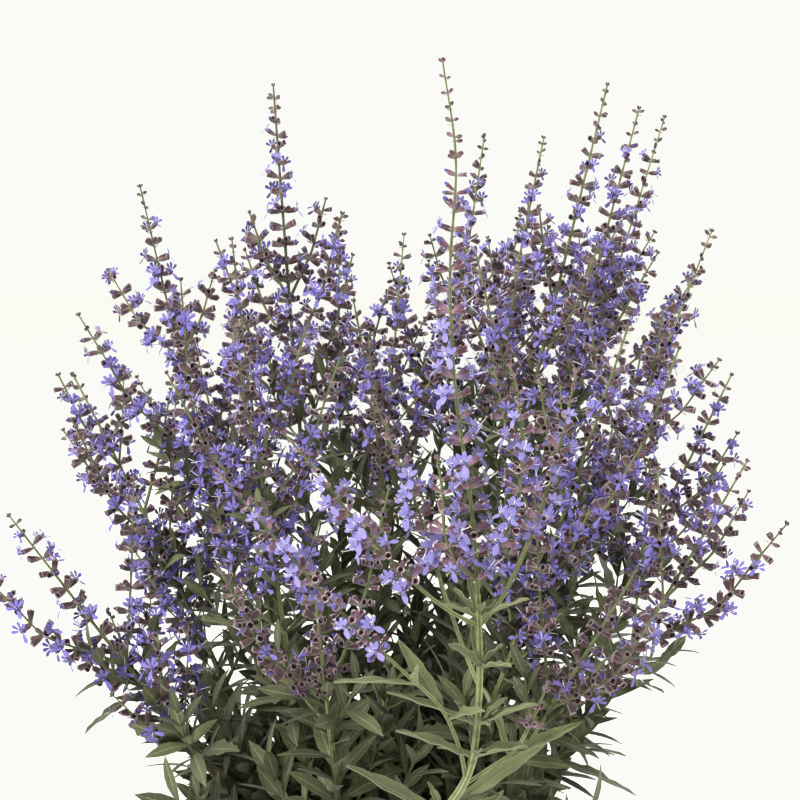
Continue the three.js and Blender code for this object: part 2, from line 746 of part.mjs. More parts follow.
const planting = new THREE.Group();
planting.position.z = SOIL_LEVEL;
planting.add(toMesh("soil", soil([...plants.map((plant) => plant.line), frontLine]), FINISHES.soil));
for (const { stem, head, line, headFrom, sides, nodes } of plants) {
  planting.add(toMesh(stem, leafyStem({ line, headFrom, nodes }), FINISHES.leaf));
  planting.add(toMesh(head, floweringHead(line, headFrom, sides), FINISHES.flower));
}
const frontHead = floweringHead(frontLine, frontHeadFrom, frontHeadSpikes);
planting.add(toMesh("front_leaves", frontLeafyStem(), FINISHES.leaf));
planting.add(toMesh("front_flowers", frontHead, FINISHES.flower));
for (const { name, line, stalk } of frontBranches) {
  const branch = spike(line, stalk + GAP, line.length, BRANCH_BARE, BRANCH_RADIUS);
  planting.add(toMesh(`front_${name}`, branch, FINISHES.flower));
}

const pottedSage = new THREE.Group();
pottedSage.add(toMesh("pot", pot(), FINISHES.pot));
pottedSage.add(planting);

export default pottedSage;
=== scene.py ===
"""A potted Russian sage, dressed for rendering.

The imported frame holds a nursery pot, its soil, 21 flowering stems and one tall stem in front of
them. This script lays the same plant out by the same rule, so that each stem, spike and leaf
stands where its node is, and models it finely: square grooved stems, toothed and veined leaves,
and whorls of downy calyxes with two-lipped flowers.

The plant is laid out in millimetres from the level of the soil. Every piece is written in metres,
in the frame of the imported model.
"""

import logging
import math
from collections.abc import Callable, Iterable, Sequence
from dataclasses import dataclass, field, replace
from enum import Enum
from functools import cached_property
from itertools import product
from typing import ClassVar, Protocol

import bpy
import numpy as np
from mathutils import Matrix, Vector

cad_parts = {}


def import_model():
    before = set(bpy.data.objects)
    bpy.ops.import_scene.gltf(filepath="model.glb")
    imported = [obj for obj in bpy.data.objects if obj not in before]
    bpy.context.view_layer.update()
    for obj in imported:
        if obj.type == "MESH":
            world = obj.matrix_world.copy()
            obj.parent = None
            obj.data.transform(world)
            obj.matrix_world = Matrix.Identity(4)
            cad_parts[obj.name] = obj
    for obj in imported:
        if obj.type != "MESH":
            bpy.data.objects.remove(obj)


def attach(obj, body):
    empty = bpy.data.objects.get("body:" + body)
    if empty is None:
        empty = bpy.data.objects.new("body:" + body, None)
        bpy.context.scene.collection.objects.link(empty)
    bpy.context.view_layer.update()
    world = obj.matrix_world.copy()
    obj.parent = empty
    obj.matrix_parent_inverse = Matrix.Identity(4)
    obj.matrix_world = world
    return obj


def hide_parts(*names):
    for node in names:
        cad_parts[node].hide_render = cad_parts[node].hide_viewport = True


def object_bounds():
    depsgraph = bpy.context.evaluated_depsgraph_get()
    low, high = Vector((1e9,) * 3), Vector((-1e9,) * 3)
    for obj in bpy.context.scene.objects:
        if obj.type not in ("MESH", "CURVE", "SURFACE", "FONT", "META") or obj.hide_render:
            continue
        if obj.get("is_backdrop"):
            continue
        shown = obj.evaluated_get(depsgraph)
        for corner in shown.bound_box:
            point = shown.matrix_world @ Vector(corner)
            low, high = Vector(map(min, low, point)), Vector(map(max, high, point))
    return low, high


LOG = logging.getLogger("potted_sage")

MM = 0.001
TURN = 2 * math.pi
DEGREE = TURN / 360
UP = np.array([0.0, 0.0, 1.0])
POT_HEIGHT = 138.0
RIM_RADIUS = 82.5
LIP_OUT = 4.5
POT_WALL = 1.8
SOIL_LEVEL = 122.0
SOIL_LUMP = 1.6
ROOT_BODY = "root"
SMOOTH_UNDER = 50 * DEGREE

# Short names for what the functions take and return most often
Array = np.ndarray
Pair = tuple[float, float]
Triple = tuple[float, float, float]
Ball = tuple[float, ...]
Balls = Sequence[Ball]
Piece = bpy.types.Object
Material = bpy.types.Material
Socket = bpy.types.NodeSocket


def mix(start: float, end: float, share: float) -> float:
    """Returns the value a share of the way from start to end."""
    return start + (end - start) * share


def unit(vector: Array) -> Array:
    """Returns the vector at length 1."""
    return vector / np.linalg.norm(vector)


def tilted(first: Array, second: Array, angle: float) -> Array:
    """Returns the direction at an angle from one direction towards another."""
    return first * math.cos(angle) + second * math.sin(angle)


def eased(share: float, start: float, end: float) -> float:
    """Returns 0 up to start, 1 from end on, and a smooth step between them."""
    along = min(max((share - start) / (end - start), 0.0), 1.0)
    return along * along * (3 - 2 * along)


class Draws:
    """Numbers from 0 to 1, the same list for the same seed each time."""

    def __init__(self, seed: int) -> None:
        """Starts the list of a seed."""
        self.state = seed

    def next(self) -> float:
        """Returns the next number."""
        self.state = (self.state * 1664525 + 1013904223) % 4294967296
        return self.state / 4294967296

    def between(self, low: float, high: float) -> float:
        """Returns the next number, scaled to lie between low and high."""
        return mix(low, high, self.next())

    def about(self, spread: float) -> float:
        """Returns the next number, scaled to lie up to spread from 0 on either side."""
        return self.between(-spread, spread)


class Line:
    """A smooth line through points, read by its length from the first point.

    Its turn is the angle about it at which its first side faces.
    """

    DIVISIONS = 96
    TENSION = 0.5

    def __init__(self, points: Sequence[Sequence[float]], turn: float = 0.0) -> None:
        """Samples the curve and measures it.

        Args:
            points: The points that it runs through, in millimetres.
            turn: The angle of its first side.
        """
        given = np.array(points, float)
        before = 2 * given[0] - given[1]
        after = 2 * given[-1] - given[-2]
        knots = np.vstack([before, given, after])
        spans = np.linspace(0, len(given) - 1, self.DIVISIONS + 1)
        first = np.minimum(spans.astype(int), len(given) - 2)
        share = (spans - first)[:, None]
        p0, p1, p2, p3 = (knots[first + i] for i in range(4))
        leave = self.TENSION * (p2 - p0)
        arrive = self.TENSION * (p3 - p1)
        square = -3 * p1 + 3 * p2 - 2 * leave - arrive
        cube = 2 * p1 - 2 * p2 + leave + arrive
        self.samples = p1 + leave * share + square * share**2 + cube * share**3
        steps = np.linalg.norm(np.diff(self.samples, axis=0), axis=1)
        self.lengths = np.concatenate([[0.0], np.cumsum(steps)])
        self.length = float(self.lengths[-1])
        chord = self.samples[-1] - self.samples[0]
        self.side = unit(np.array([chord[1], -chord[0], 0.0]))
        self.turn = turn

    def at(self, distance: float) -> Array:
        """Reads a point, on past either end too.

        Args:
            distance: The length along the line.

        Returns:
            The point, in millimetres.
        """
        found = int(np.searchsorted(self.lengths, distance))
        i = min(max(found, 1), self.DIVISIONS)
        step = self.lengths[i] - self.lengths[i - 1]
        share = (distance - self.lengths[i - 1]) / step
        return self.samples[i - 1] + (self.samples[i] - self.samples[i - 1]) * share

    def frame(self, distance: float, angle: float = 0.0) -> tuple[Array, Array, Array]:
        """Reads the line's directions at a length.

        Args:
            distance: The length along the line.
            angle: The angle about the line of the direction that leads out of it.

        Returns:
            The direction along the line, the one out of it, and the one beside that.
        """
        along = unit(self.at(distance + 1) - self.at(distance - 1))
        across = unit(self.side - along * (self.side @ along))
        third = np.cross(along, across)
        out = tilted(across, third, angle + self.turn)
        return along, out, np.cross(along, out)

    def where_height_is(self, height: float) -> float:
        """Returns how far along the line it first passes a height."""
        return float(self.lengths[np.argmax(self.samples[:, 2] >= height)])


@dataclass(frozen=True)
class LeafHabit:
    """How the leaves stand on their stem, and their size."""

    first: float = 24.0
    step: float = 36.0
    below_head: float = 8.0
    length_low: float = 50.0
    length_high: float = 32.0
    length_spread: Pair = (0.85, 1.12)
    width_share: float = 0.32
    lift: Pair = (18 * DEGREE, 46 * DEGREE)
    droop: Pair = (0.08, 0.3)
    front_droop: float = 0.1
    fold: float = 0.2
    thickness: float = 0.45


HABIT = LeafHabit()


@dataclass
class Leaf:
    """A blade that arches along its rib and folds up a little to either side of it."""

    BELLY_BALL: ClassVar[float] = 0.45
    TIP_BALL: ClassVar[float] = 1.5

    root: Array
    along: Array
    normal: Array
    length: float
    width: float
    droop: float
    sway: float = 0.0
    twist: float = 0.0
    fold: float = HABIT.fold

    @classmethod
    def on(
        cls, line: Line, distance: float, direction: Array, length: float, width: float, droop: float
    ) -> "Leaf":
        """Seats a leaf on a stem.

        Args:
            line: The stem's line.
            distance: How far along the line the leaf stands.
            direction: The direction that the leaf sets out in.
            length: Its length.
            width: Its greatest width.
            droop: How far its tip sinks, as a share of its length.

        Returns:
            The leaf.
        """
        stem_along, _, _ = line.frame(distance)
        along = unit(direction)
        normal = unit(stem_along - along * (along @ stem_along))
        return cls(line.at(distance), along, normal, length, width, droop)

    def points(self, places: Array) -> Array:
        """Bends places on the flat blade to this leaf.

        Args:
            places: For each place, how far it is along the blade and across it, as shares of the
                length and width, and its height in millimetres.

        Returns:
            The points, in millimetres.
        """
        across = np.cross(self.normal, self.along)
        u, v, height = places.T
        turned = self.twist * u * u
        flat = v * self.width
        rise = height + np.abs(v) * self.width * self.fold
        side = flat * np.cos(turned) - rise * np.sin(turned) + self.sway * self.length * u * u
        lift = flat * np.sin(turned) + rise * np.cos(turned) - self.droop * self.length * u * u
        steps = (u * self.length)[:, None] * self.along
        return self.root + steps + side[:, None] * across + lift[:, None] * self.normal

    def stir(self, draws: Draws, sway: float, twist: float) -> None:
        """Sways and twists the leaf by chance, up to a limit for each."""
        self.sway = draws.about(sway)
        self.twist = draws.about(twist)

    def balls(self) -> list[Ball]:
        """Finds the balls that stand for the leaf, three in the blade and one at its tip.

        Returns:
            The centre and radius of each.
        """
        belly = self.BELLY_BALL * self.width
        radii = {0.32: belly, 0.5: belly, 0.68: belly, 0.95: self.TIP_BALL}
        centres = self.points(np.array([[share, 0.0, 0.0] for share in radii]))
        return [(*centre, radius) for centre, radius in zip(centres, radii.values())]


@dataclass
class Room:
    """Balls that stand for what is placed, so that the next leaf or spike keeps clear of it."""

    clearance: float = 0.7
    rim_height: float = POT_HEIGHT - SOIL_LEVEL
    mouth_radius: float = RIM_RADIUS - LIP_OUT - POT_WALL
    owners: list[str] = field(default_factory=list)
    balls: list[Ball] = field(default_factory=list)

    def add(self, owner: str, balls: Balls) -> None:
        """Takes in an owner's balls."""
        self.owners += [owner] * len(balls)
        self.balls += [tuple(ball) for ball in balls]

    def clear_of_pot(self, ball: Sequence[float]) -> bool:
        """Tells whether a ball is over the rim, or over the soil and inside the pot's wall.

        Args:
            ball: Its centre and radius.

        Returns:
            Whether it is clear of both.
        """
        x, y, z, radius = ball
        inside = math.hypot(x, y) + radius < self.mouth_radius
        return z - radius > (SOIL_LUMP if inside else self.rim_height)

    def is_clear(self, owners: Sequence[str], balls: Balls) -> bool:
        """Tells whether balls touch nothing.

        Args:
            owners: Whose balls they may touch.
            balls: The balls to try.

        Returns:
            Whether they are clear of the pot and of every other owner's balls.
        """
        if not all(self.clear_of_pot(ball) for ball in balls):
            return False
        others = np.array([b for o, b in zip(self.owners, self.balls) if o not in owners])
        mine = np.array(balls)
        gaps = np.linalg.norm(others[None, :, :3] - mine[:, None, :3], axis=2)
        needed = others[None, :, 3] + mine[:, None, 3] + self.clearance
        return bool((gaps >= needed).all())

    def first_clear(
        self, owner: str, owners: Sequence[str], tries: Iterable[tuple[Line | Leaf, Balls]]
    ) -> Line | Leaf | None:
        """Takes the first thing that has room, and claims the room for it.

        Args:
            owner: Whose the claimed room is.
            owners: Whose balls the thing may touch.
            tries: Each thing to try, with its balls.

        Returns:
            The thing, or None if none of them has room.
        """
        for grown, balls in tries:
            if self.is_clear(owners, balls):
                self.add(owner, balls)
                return grown
        return None


@dataclass(frozen=True)
class StemRule:
    """The sizes of stems and spikes, and how side spikes rise from a flowering head."""

    depth: float = 12.0
    radius_low: float = 2.2
    radius_high: float = 1.2
    branch_radius: float = 1.2
    tip_radius: float = 0.4
    head_radius: float = 0.95
    root_share: float = 0.25
    bow: float = 5.0
    knots: tuple[float, ...] = (0.0, 0.12, 0.35, 0.6, 0.82, 1.0)
    ball_step: float = 5.0
    flowers_from: float = 0.55
    side_first: float = 7.0
    side_step: float = 27.0
    side_length: float = 92.0
    side_length_spread: Pair = (0.85, 1.1)
    side_shrink: float = 0.76
    side_angle: float = 46 * DEGREE
    side_rise: float = 0.3
    side_lift: float = 0.55
    side_bare: float = 15.0
    branch_bare: float = 4.0
    floret_reach: Pair = (10.0, 4.5)
    floret_slimming: float = 1.6
    turns: tuple[float, ...] = tuple(a * DEGREE for a in (0, 24, -24, 48, -48, 72, -72))
    shrinks: tuple[float, ...] = (1.0, 0.8, 0.62)


RULE = StemRule()

# How a side spike or a leaf is shortened and turned, one way after another, until it has room
WAYS = tuple(product(RULE.shrinks, RULE.turns))

# Whose room the background stems' leaves are, all of them together
LEAVES = "leaves"

# Each background stem: its tip, as X, Y and height above the soil, how it bends on the way (under
# 1 it leans out first and then turns up, over 1 it rises first) and its pairs of side spikes
STEMS = (
    ((-39, 25, 361), 1.15, 3),
    ((-101, 15, 313), 1.0, 3),
    ((-52, -36, 287), 0.9, 2),
    ((-11, 90, 300), 1.0, 2),
    ((23, 32, 291), 1.2, 2),
    ((68, 138, 349), 1.0, 3),
    ((94, 70, 341), 0.95, 3),
    ((117, 10, 359), 0.9, 3),
    ((163, 112, 356), 0.95, 2),
    ((160, -20, 291), 0.85, 3),
    ((183, 34, 223), 0.8, 2),
    ((170, -52, 192), 0.75, 2),
    ((-141, 42, 223), 1.15, 3),
    ((-148, -50, 168), 1.05, 1),
    ((118, -84, 152), 0.8, 1),
    ((-98, 132, 251), 1.0, 2),
    ((16, 166, 235), 0.95, 2),
    ((-14, -100, 158), 0.9, 1),
    ((137, 40, 352), 0.9, 3),
    ((85, 100, 303), 0.95, 3),
    ((120, -42, 250), 0.85, 2),
)

# Stems whose flowers are mostly over, with the share of them that is still open
SPENT_STEMS = {"stem_15": 0.18, "stem_18": 0.05}

# Stems that also carry short spikes among their upper leaves
LOW_FLOWERING = ("stem_02", "stem_03", "stem_10", "stem_13", "stem_14", "stem_21")

# The front stem, point by point from the soil to its tip, and the branches that leave it
FRONT_AXIS = (
    (12, -40, -12), (14, -46, 0), (22, -70, 27), (36, -103, 54), (47, -131, 83), (50, -141, 113),
    (50, -141, 142), (47, -140, 186), (41, -140, 229), (39, -140, 271), (41, -140, 311), (36, -140, 347),
)
FRONT_HEAD_FROM = 152
YOUNG_SHOOT = "young_shoot"
FRONT_BRANCHES = {
    "spike_low_left": (
        ((46, -129, 80), (43, -137, 95), (36, -143, 112), (24, -147, 125), (5, -150, 144),
         (-15, -151, 166), (-30, -150, 184), (-45, -148, 201)),
        66,
    ),
    "spike_mid_left": (
        ((50, -141, 142), (37, -145, 150), (21, -150, 165), (1, -151, 188), (-10, -150, 202),
         (-21, -149, 215)),
        28,
    ),
    "spike_upper_left": (
        ((50, -141, 120), (44, -135, 134), (36, -130, 157), (27, -128, 185), (19, -128, 205),
         (11, -129, 226)),
        42,
    ),
    "spike_right": (
        ((50, -141, 142), (59, -136, 152), (69, -131, 172), (77, -130, 194), (82, -131, 215),
         (86, -132, 236)),
        36,
    ),
    YOUNG_SHOOT: (
        ((45, -126, 76), (55, -131, 85), (64, -137, 94), (70, -139, 106), (76, -140, 121)),
        36,
    ),
}
FRONT_HEAD_SPIKES = (
    ((49, -140, 162), (56, -143, 171), (63, -145, 186), (65, -145, 207), (63, -145, 229), (60, -145, 239)),
    ((49, -140, 159), (42, -149, 167), (37, -154, 179), (36, -155, 194), (34, -155, 207)),
)
# The front stem's leaves: what they stand on, the height of their node, their tip and width
FRONT_STEM = "stem"
FRONT_LEAVES = (
    (FRONT_STEM, 32, (61, -86, 57), 10),
    (FRONT_STEM, 32, (-10, -96, 59), 9.5),
    (FRONT_STEM, 56, (79, -108, 89), 8),
    (FRONT_STEM, 56, (3, -124, 82), 8),
    (FRONT_STEM, 87, (22, -150, 107), 8.5),
    (FRONT_STEM, 87, (66, -152, 103), 9),
    (FRONT_STEM, 103, (18, -143, 121), 7),
    (FRONT_STEM, 103, (69, -148, 117), 6.5),
    (FRONT_STEM, 124, (40, -158, 142), 8),
    (FRONT_STEM, 124, (61, -160, 135), 7),
    (FRONT_STEM, 144, (36, -155, 156), 5.5),
    (FRONT_STEM, 144, (66, -152, 157), 5.5),
    ("spike_low_left", 106, (22, -133, 136), 8),
    ("spike_low_left", 106, (50, -160, 119), 6.5),
    ("spike_low_left", 121, (-2, -153, 127), 5.5),
    ("spike_low_left", 121, (26, -167, 137), 5.5),
    (YOUNG_SHOOT, 91, (88, -136, 105), 6),
    (YOUNG_SHOOT, 91, (54, -127, 115), 6.5),
)


def floret_reach(share: float) -> float:
    """Returns how far florets stand out of their spike, at a share of the way up it."""
    return mix(*RULE.floret_reach, share**RULE.floret_slimming)


def stem_balls(line: Line, start: float, end: float, radius: float) -> list[Ball]:
    """Returns balls of one radius along a stretch of a line."""
    count = math.ceil((end - start) / RULE.ball_step)
    return [(*line.at(mix(start, end, i / count)), radius) for i in range(count + 1)]


def spike_balls(line: Line, start: float, end: float) -> list[Ball]:
    """Returns the balls that stand for a spike's florets, slimmer towards its tip."""
    balls = stem_balls(line, start, end, 0.0)
    return [(*ball[:3], floret_reach(i / (len(balls) - 1))) for i, ball in enumerate(balls)]


def slimmed(balls: Balls, share: float) -> list[Ball]:
    """Returns balls whose radius is a share of what it was."""
    return [(*ball[:3], ball[3] * share) for ball in balls]


def stem_line(tip: Sequence[float], bend: float, draws: Draws) -> Line:
    """Leads a stem straight up through the soil and out to its tip.

    Args:
        tip: Where the stem ends.
        bend: How it bends on the way.
        draws: The stem's own draws.

    Returns:
        The stem's line.
    """
    sway = np.array([draws.about(RULE.bow), draws.about(RULE.bow)])
    points = []
    for share in RULE.knots:
        lean = mix(RULE.root_share, 1, share**bend)
        bow = math.sin(share * TURN / 2)
        points.append([*(np.array(tip[:2]) * lean + sway * bow), tip[2] * share])
    start, later = np.array(points[:2])
    foot = start - (later - start) * (RULE.depth / (later[2] - start[2]))
    return Line([foot, *points], draws.next() * TURN)


def side_line(line: Line, distance: float, angle: float, length: float) -> Line:
    """Leads a side spike out of its stem and then up.

    Args:
        line: The stem's line.
        distance: How far along it the spike leaves.
        angle: The angle about the stem at which it leaves.
        length: The spike's length.

    Returns:
        The spike's line.
    """
    along, out, _ = line.frame(distance, angle)
    start = line.at(distance)
    away = unit(tilted(along, out, RULE.side_angle) + UP * RULE.side_rise)
    later = unit(away + UP * RULE.side_lift)
    middle = start + away * (length / 2)
    end = middle + later * (length / 2)
    return Line([start, (start + middle) / 2, middle, (middle + end) / 2, end])


@dataclass
class Plant:
    """One background stem: its line and what grows from it."""

    name: str
    line: Line
    pairs: int
    draws: Draws
    stem: str = ""
    head: str = ""
    joint: str = ""
    soil_at: float = 0.0
    head_from: float = 0.0
    sides: list[Line] = field(default_factory=list)
    leaves: list[Leaf] = field(default_factory=list)
    nodes: list[float] = field(default_factory=list)

    def __post_init__(self) -> None:
        """Names the stem's nodes, and finds where it leaves the soil and where its head begins."""
        self.stem, self.head, self.joint = (f"{self.name}_{part}" for part in ("leaves", "flowers", "joint"))
        self.soil_at = self.line.where_height_is(0)
        self.head_from = mix(self.soil_at, self.line.length, RULE.flowers_from)

    def take_room(self, room: Room) -> None:
        """Claims the room of the stem, its joint and its flowering head.

        Args:
            room: What is placed so far.
        """
        joint_end = self.head_from + RULE.side_bare
        until = self.head_from - RULE.ball_step
        room.add(self.stem, stem_balls(self.line, self.soil_at, until, RULE.radius_low))
        room.add(self.joint, stem_balls(self.line, self.head_from, joint_end, RULE.radius_low))
        room.add(self.head, spike_balls(self.line, joint_end, self.line.length))

    def grow_sides(self, room: Room) -> None:
        """Grows the pairs of side spikes, each turned or shortened until it is clear.

        Args:
            room: What is placed so far.
        """
        for index in range(self.pairs):
            distance = self.head_from + RULE.side_first + index * RULE.side_step
            for half in (0, TURN / 2):
                spread = self.draws.between(*RULE.side_length_spread)
                full = RULE.side_length * RULE.side_shrink**index * spread
                angle = index * TURN / 4 + half
                tries = (side_line(self.line, distance, angle + turn, full * size) for size, turn in WAYS)
                placed = ((side, spike_balls(side, RULE.side_bare, side.length)) for side in tries)
                side = room.first_clear(self.head, [self.head, self.joint], placed)
                if side:
                    self.sides.append(side)

    def grow_leaves(self, room: Room) -> None:
        """Grows the crossed pairs of leaves, each turned or shortened until it is clear.

        Args:
            room: What is placed so far.
        """
        run = self.head_from - HABIT.below_head - self.soil_at - HABIT.first
        count = max(2, math.floor(run / HABIT.step) + 1)
        for index in range(count):
            share = index / (count - 1)
            distance = mix(self.soil_at + HABIT.first, self.head_from - HABIT.below_head, share)
            self.nodes.append(distance)
            for half in (0, TURN / 2):
                spread = self.draws.between(*HABIT.length_spread)
                full = mix(HABIT.length_low, HABIT.length_high, share) * spread
                lift = self.draws.between(*HABIT.lift)
                droop = self.draws.between(*HABIT.droop)
                angle = index * TURN / 4 + half
                tries = (self.leaf(distance, angle + turn, lift, full * size, droop) for size, turn in WAYS)
                placed = ((leaf, leaf.balls()) for leaf in tries)
                leaf = room.first_clear(LEAVES, [self.stem, self.joint], placed)
                if leaf:
                    self.leaves.append(leaf)

    def leaf(self, distance: float, angle: float, lift: float, length: float, droop: float) -> Leaf:
        """Seats one leaf on the stem.

        Args:
            distance: How far along the stem it stands.
            angle: The angle about the stem that it faces.
            lift: How far it rises from square to the stem.
            length: Its length.
            droop: How far its tip sinks, as a share of its length.

        Returns:
            The leaf.
        """
        along, out, _ = self.line.frame(distance, angle)
        width = length * HABIT.width_share
        return Leaf.on(self.line, distance, tilted(out, along, lift), length, width, droop)


@dataclass
class FrontPlan:
    """The tall front stem: its line, its branches and their leaves."""

    line: Line
    head_from: float
    branches: dict[str, tuple[Line, float]]
    head_spikes: list[Line]
    leaves: list[Leaf]
    nodes: list[float]

    @classmethod
    def laid_out(cls, room: Room) -> "FrontPlan":
        """Lays the front stem out and claims its room.

        Args:
            room: What is placed so far.

        Returns:
            The plan.
        """
        line = Line(FRONT_AXIS)
        head_from = line.where_height_is(FRONT_HEAD_FROM)
        branches = {name: (Line(points), stalk) for name, (points, stalk) in FRONT_BRANCHES.items()}
        spikes = [Line(points) for points in FRONT_HEAD_SPIKES]
        balls = stem_balls(line, 0, head_from, RULE.radius_low) + spike_balls(line, head_from, line.length)
        for branch, stalk in branches.values():
            balls += stem_balls(branch, 0, stalk, RULE.branch_radius)
            balls += spike_balls(branch, stalk, branch.length)
        for spike in spikes:
            balls += spike_balls(spike, RULE.side_bare, spike.length)
        leaves = []
        nodes = set()
        for on, height, tip, width in FRONT_LEAVES:
            carrier = line if on == FRONT_STEM else branches[on][0]
            distance = carrier.where_height_is(height)
            direction = np.array(tip, float) - carrier.at(distance)
            length = float(np.linalg.norm(direction))
            leaves.append(Leaf.on(carrier, distance, direction, length, width, HABIT.front_droop))
            balls += leaves[-1].balls()
            if carrier is line:
                nodes.add(distance)
        room.add("front", balls)
        return cls(line, head_from, branches, spikes, leaves, sorted(nodes))


@dataclass
class Layout:
    """The whole plant, laid out by the rule that its nodes follow."""

    plants: list[Plant]
    front: FrontPlan
    room: Room

    @classmethod
    def grown(cls) -> "Layout":
        """Grows the background stems, the front stem, then the side spikes and the leaves.

        Returns:
            The layout.
        """
        room = Room()
        plants = []
        for i, (tip, bend, pairs) in enumerate(STEMS):
            draws = Draws(101 + 37 * i)
            plant = Plant(f"stem_{i + 1:02d}", stem_line(tip, bend, draws), pairs, draws)
            plant.take_room(room)
            plants.append(plant)
        front = FrontPlan.laid_out(room)
        for plant in plants:
            plant.grow_sides(room)
        for plant in plants:
            plant.grow_leaves(room)
        return cls(plants, front, room)


@dataclass
class Shape:
    """A small closed mesh that is copied many times, in millimetres.

    Its form is each point's place on the piece as it was modelled, which the finishes read.
    """

    points: Array
    corners: Array
    sizes: Array
    form: Array

    @classmethod
    def taken_from(cls, piece: Piece) -> "Shape":
        """Reads a modelled piece and removes it from the scene.

        Args:
            piece: The piece, which lies at the origin.

        Returns:
            Its shape.
        """
        mesh = piece.data
        points = places_of(mesh)
        corners = np.empty(len(mesh.loops), int)
        mesh.loops.foreach_get("vertex_index", corners)
        sizes = np.empty(len(mesh.polygons), int)
        mesh.polygons.foreach_get("loop_total", sizes)
        bpy.data.objects.remove(piece)
        bpy.data.meshes.remove(mesh)
        return cls(points, corners, sizes, points.copy())

    def moved(self, matrix: Array) -> "Shape":
        """Returns a copy that is moved, and keeps the form of the original."""
        points = self.points @ matrix[:3, :3].T + matrix[:3, 3]
        return Shape(points, self.corners, self.sizes, self.form)

    @classmethod
    def gathered(cls, shapes: Sequence["Shape"]) -> "Shape":
        """Makes one shape of several, which keep their forms.

        Args:
            shapes: The shapes.

        Returns:
            The shape.
        """
        starts = np.cumsum([0] + [len(shape.points) for shape in shapes])
        return cls(
            np.vstack([shape.points for shape in shapes]),
            np.concatenate([shape.corners + start for shape, start in zip(shapes, starts)]),
            np.concatenate([shape.sizes for shape in shapes]),
            np.vstack([shape.form for shape in shapes]),
        )


def placing(x: Array, y: Array, z: Array, origin: Array, size: float = 1.0) -> Array:
    """Makes the three-row matrix that turns a shape's axes to x, y and z, and scales and moves it."""
    return np.column_stack([x * size, y * size, z * size, origin])


def turned(axis: str, angle: float, origin: Sequence[float] = (0.0, 0.0, 0.0)) -> Array:
    """Makes the matrix of a turn about one of the main axes, and a move after it.

    Args:
        axis: X, Y or Z.
        angle: The angle of the turn.
        origin: Where the origin goes.

    Returns:
        Three rows of four numbers.
    """
    first = "XYZ".index(axis)
    second, third = (first + 1) % 3, (first + 2) % 3
    matrix = np.zeros((3, 4))
    matrix[first, first] = 1.0
    matrix[second, second] = matrix[third, third] = math.cos(angle)
    matrix[second, third] = -math.sin(angle)
    matrix[third, second] = math.sin(angle)
    matrix[:, 3] = origin
    return matrix


# A cylinder of radius 1 that stands on its origin and is 1 high
ROD = {"radius": 1, "depth": 1, "location": (0, 0, 0.5)}


def take_up(piece: Piece) -> None:
    """Selects one piece alone and makes it the active one.

    Args:
        piece: The piece.
    """
    bpy.ops.object.select_all(action="DESELECT")
    piece.select_set(True)
    bpy.context.view_layer.objects.active = piece


def apply_modifier(piece: Piece, kind: str, **settings: object) -> None:
    """Gives the active piece a modifier and applies it.

    Args:
        piece: The piece.
        kind: The modifier's type.
        settings: What the modifier is set to.
    """
    modifier = piece.modifiers.new(kind.lower(), kind)
    for name, value in settings.items():
        setattr(modifier, name, value)
    bpy.ops.object.modifier_apply(modifier=modifier.name)


def places_of(mesh: bpy.types.Mesh) -> Array:
    """Reads a mesh's points.

    Args:
        mesh: The mesh.

    Returns:
        Three numbers for each point.
    """
    places = np.empty(len(mesh.vertices) * 3)
    mesh.vertices.foreach_get("co", places)
    return places.reshape(-1, 3)


class Kind(Enum):
    """What can be picked on a mesh in edit mode."""

    POINTS = "VERT"
    EDGES = "EDGE"
    FACES = "FACE"


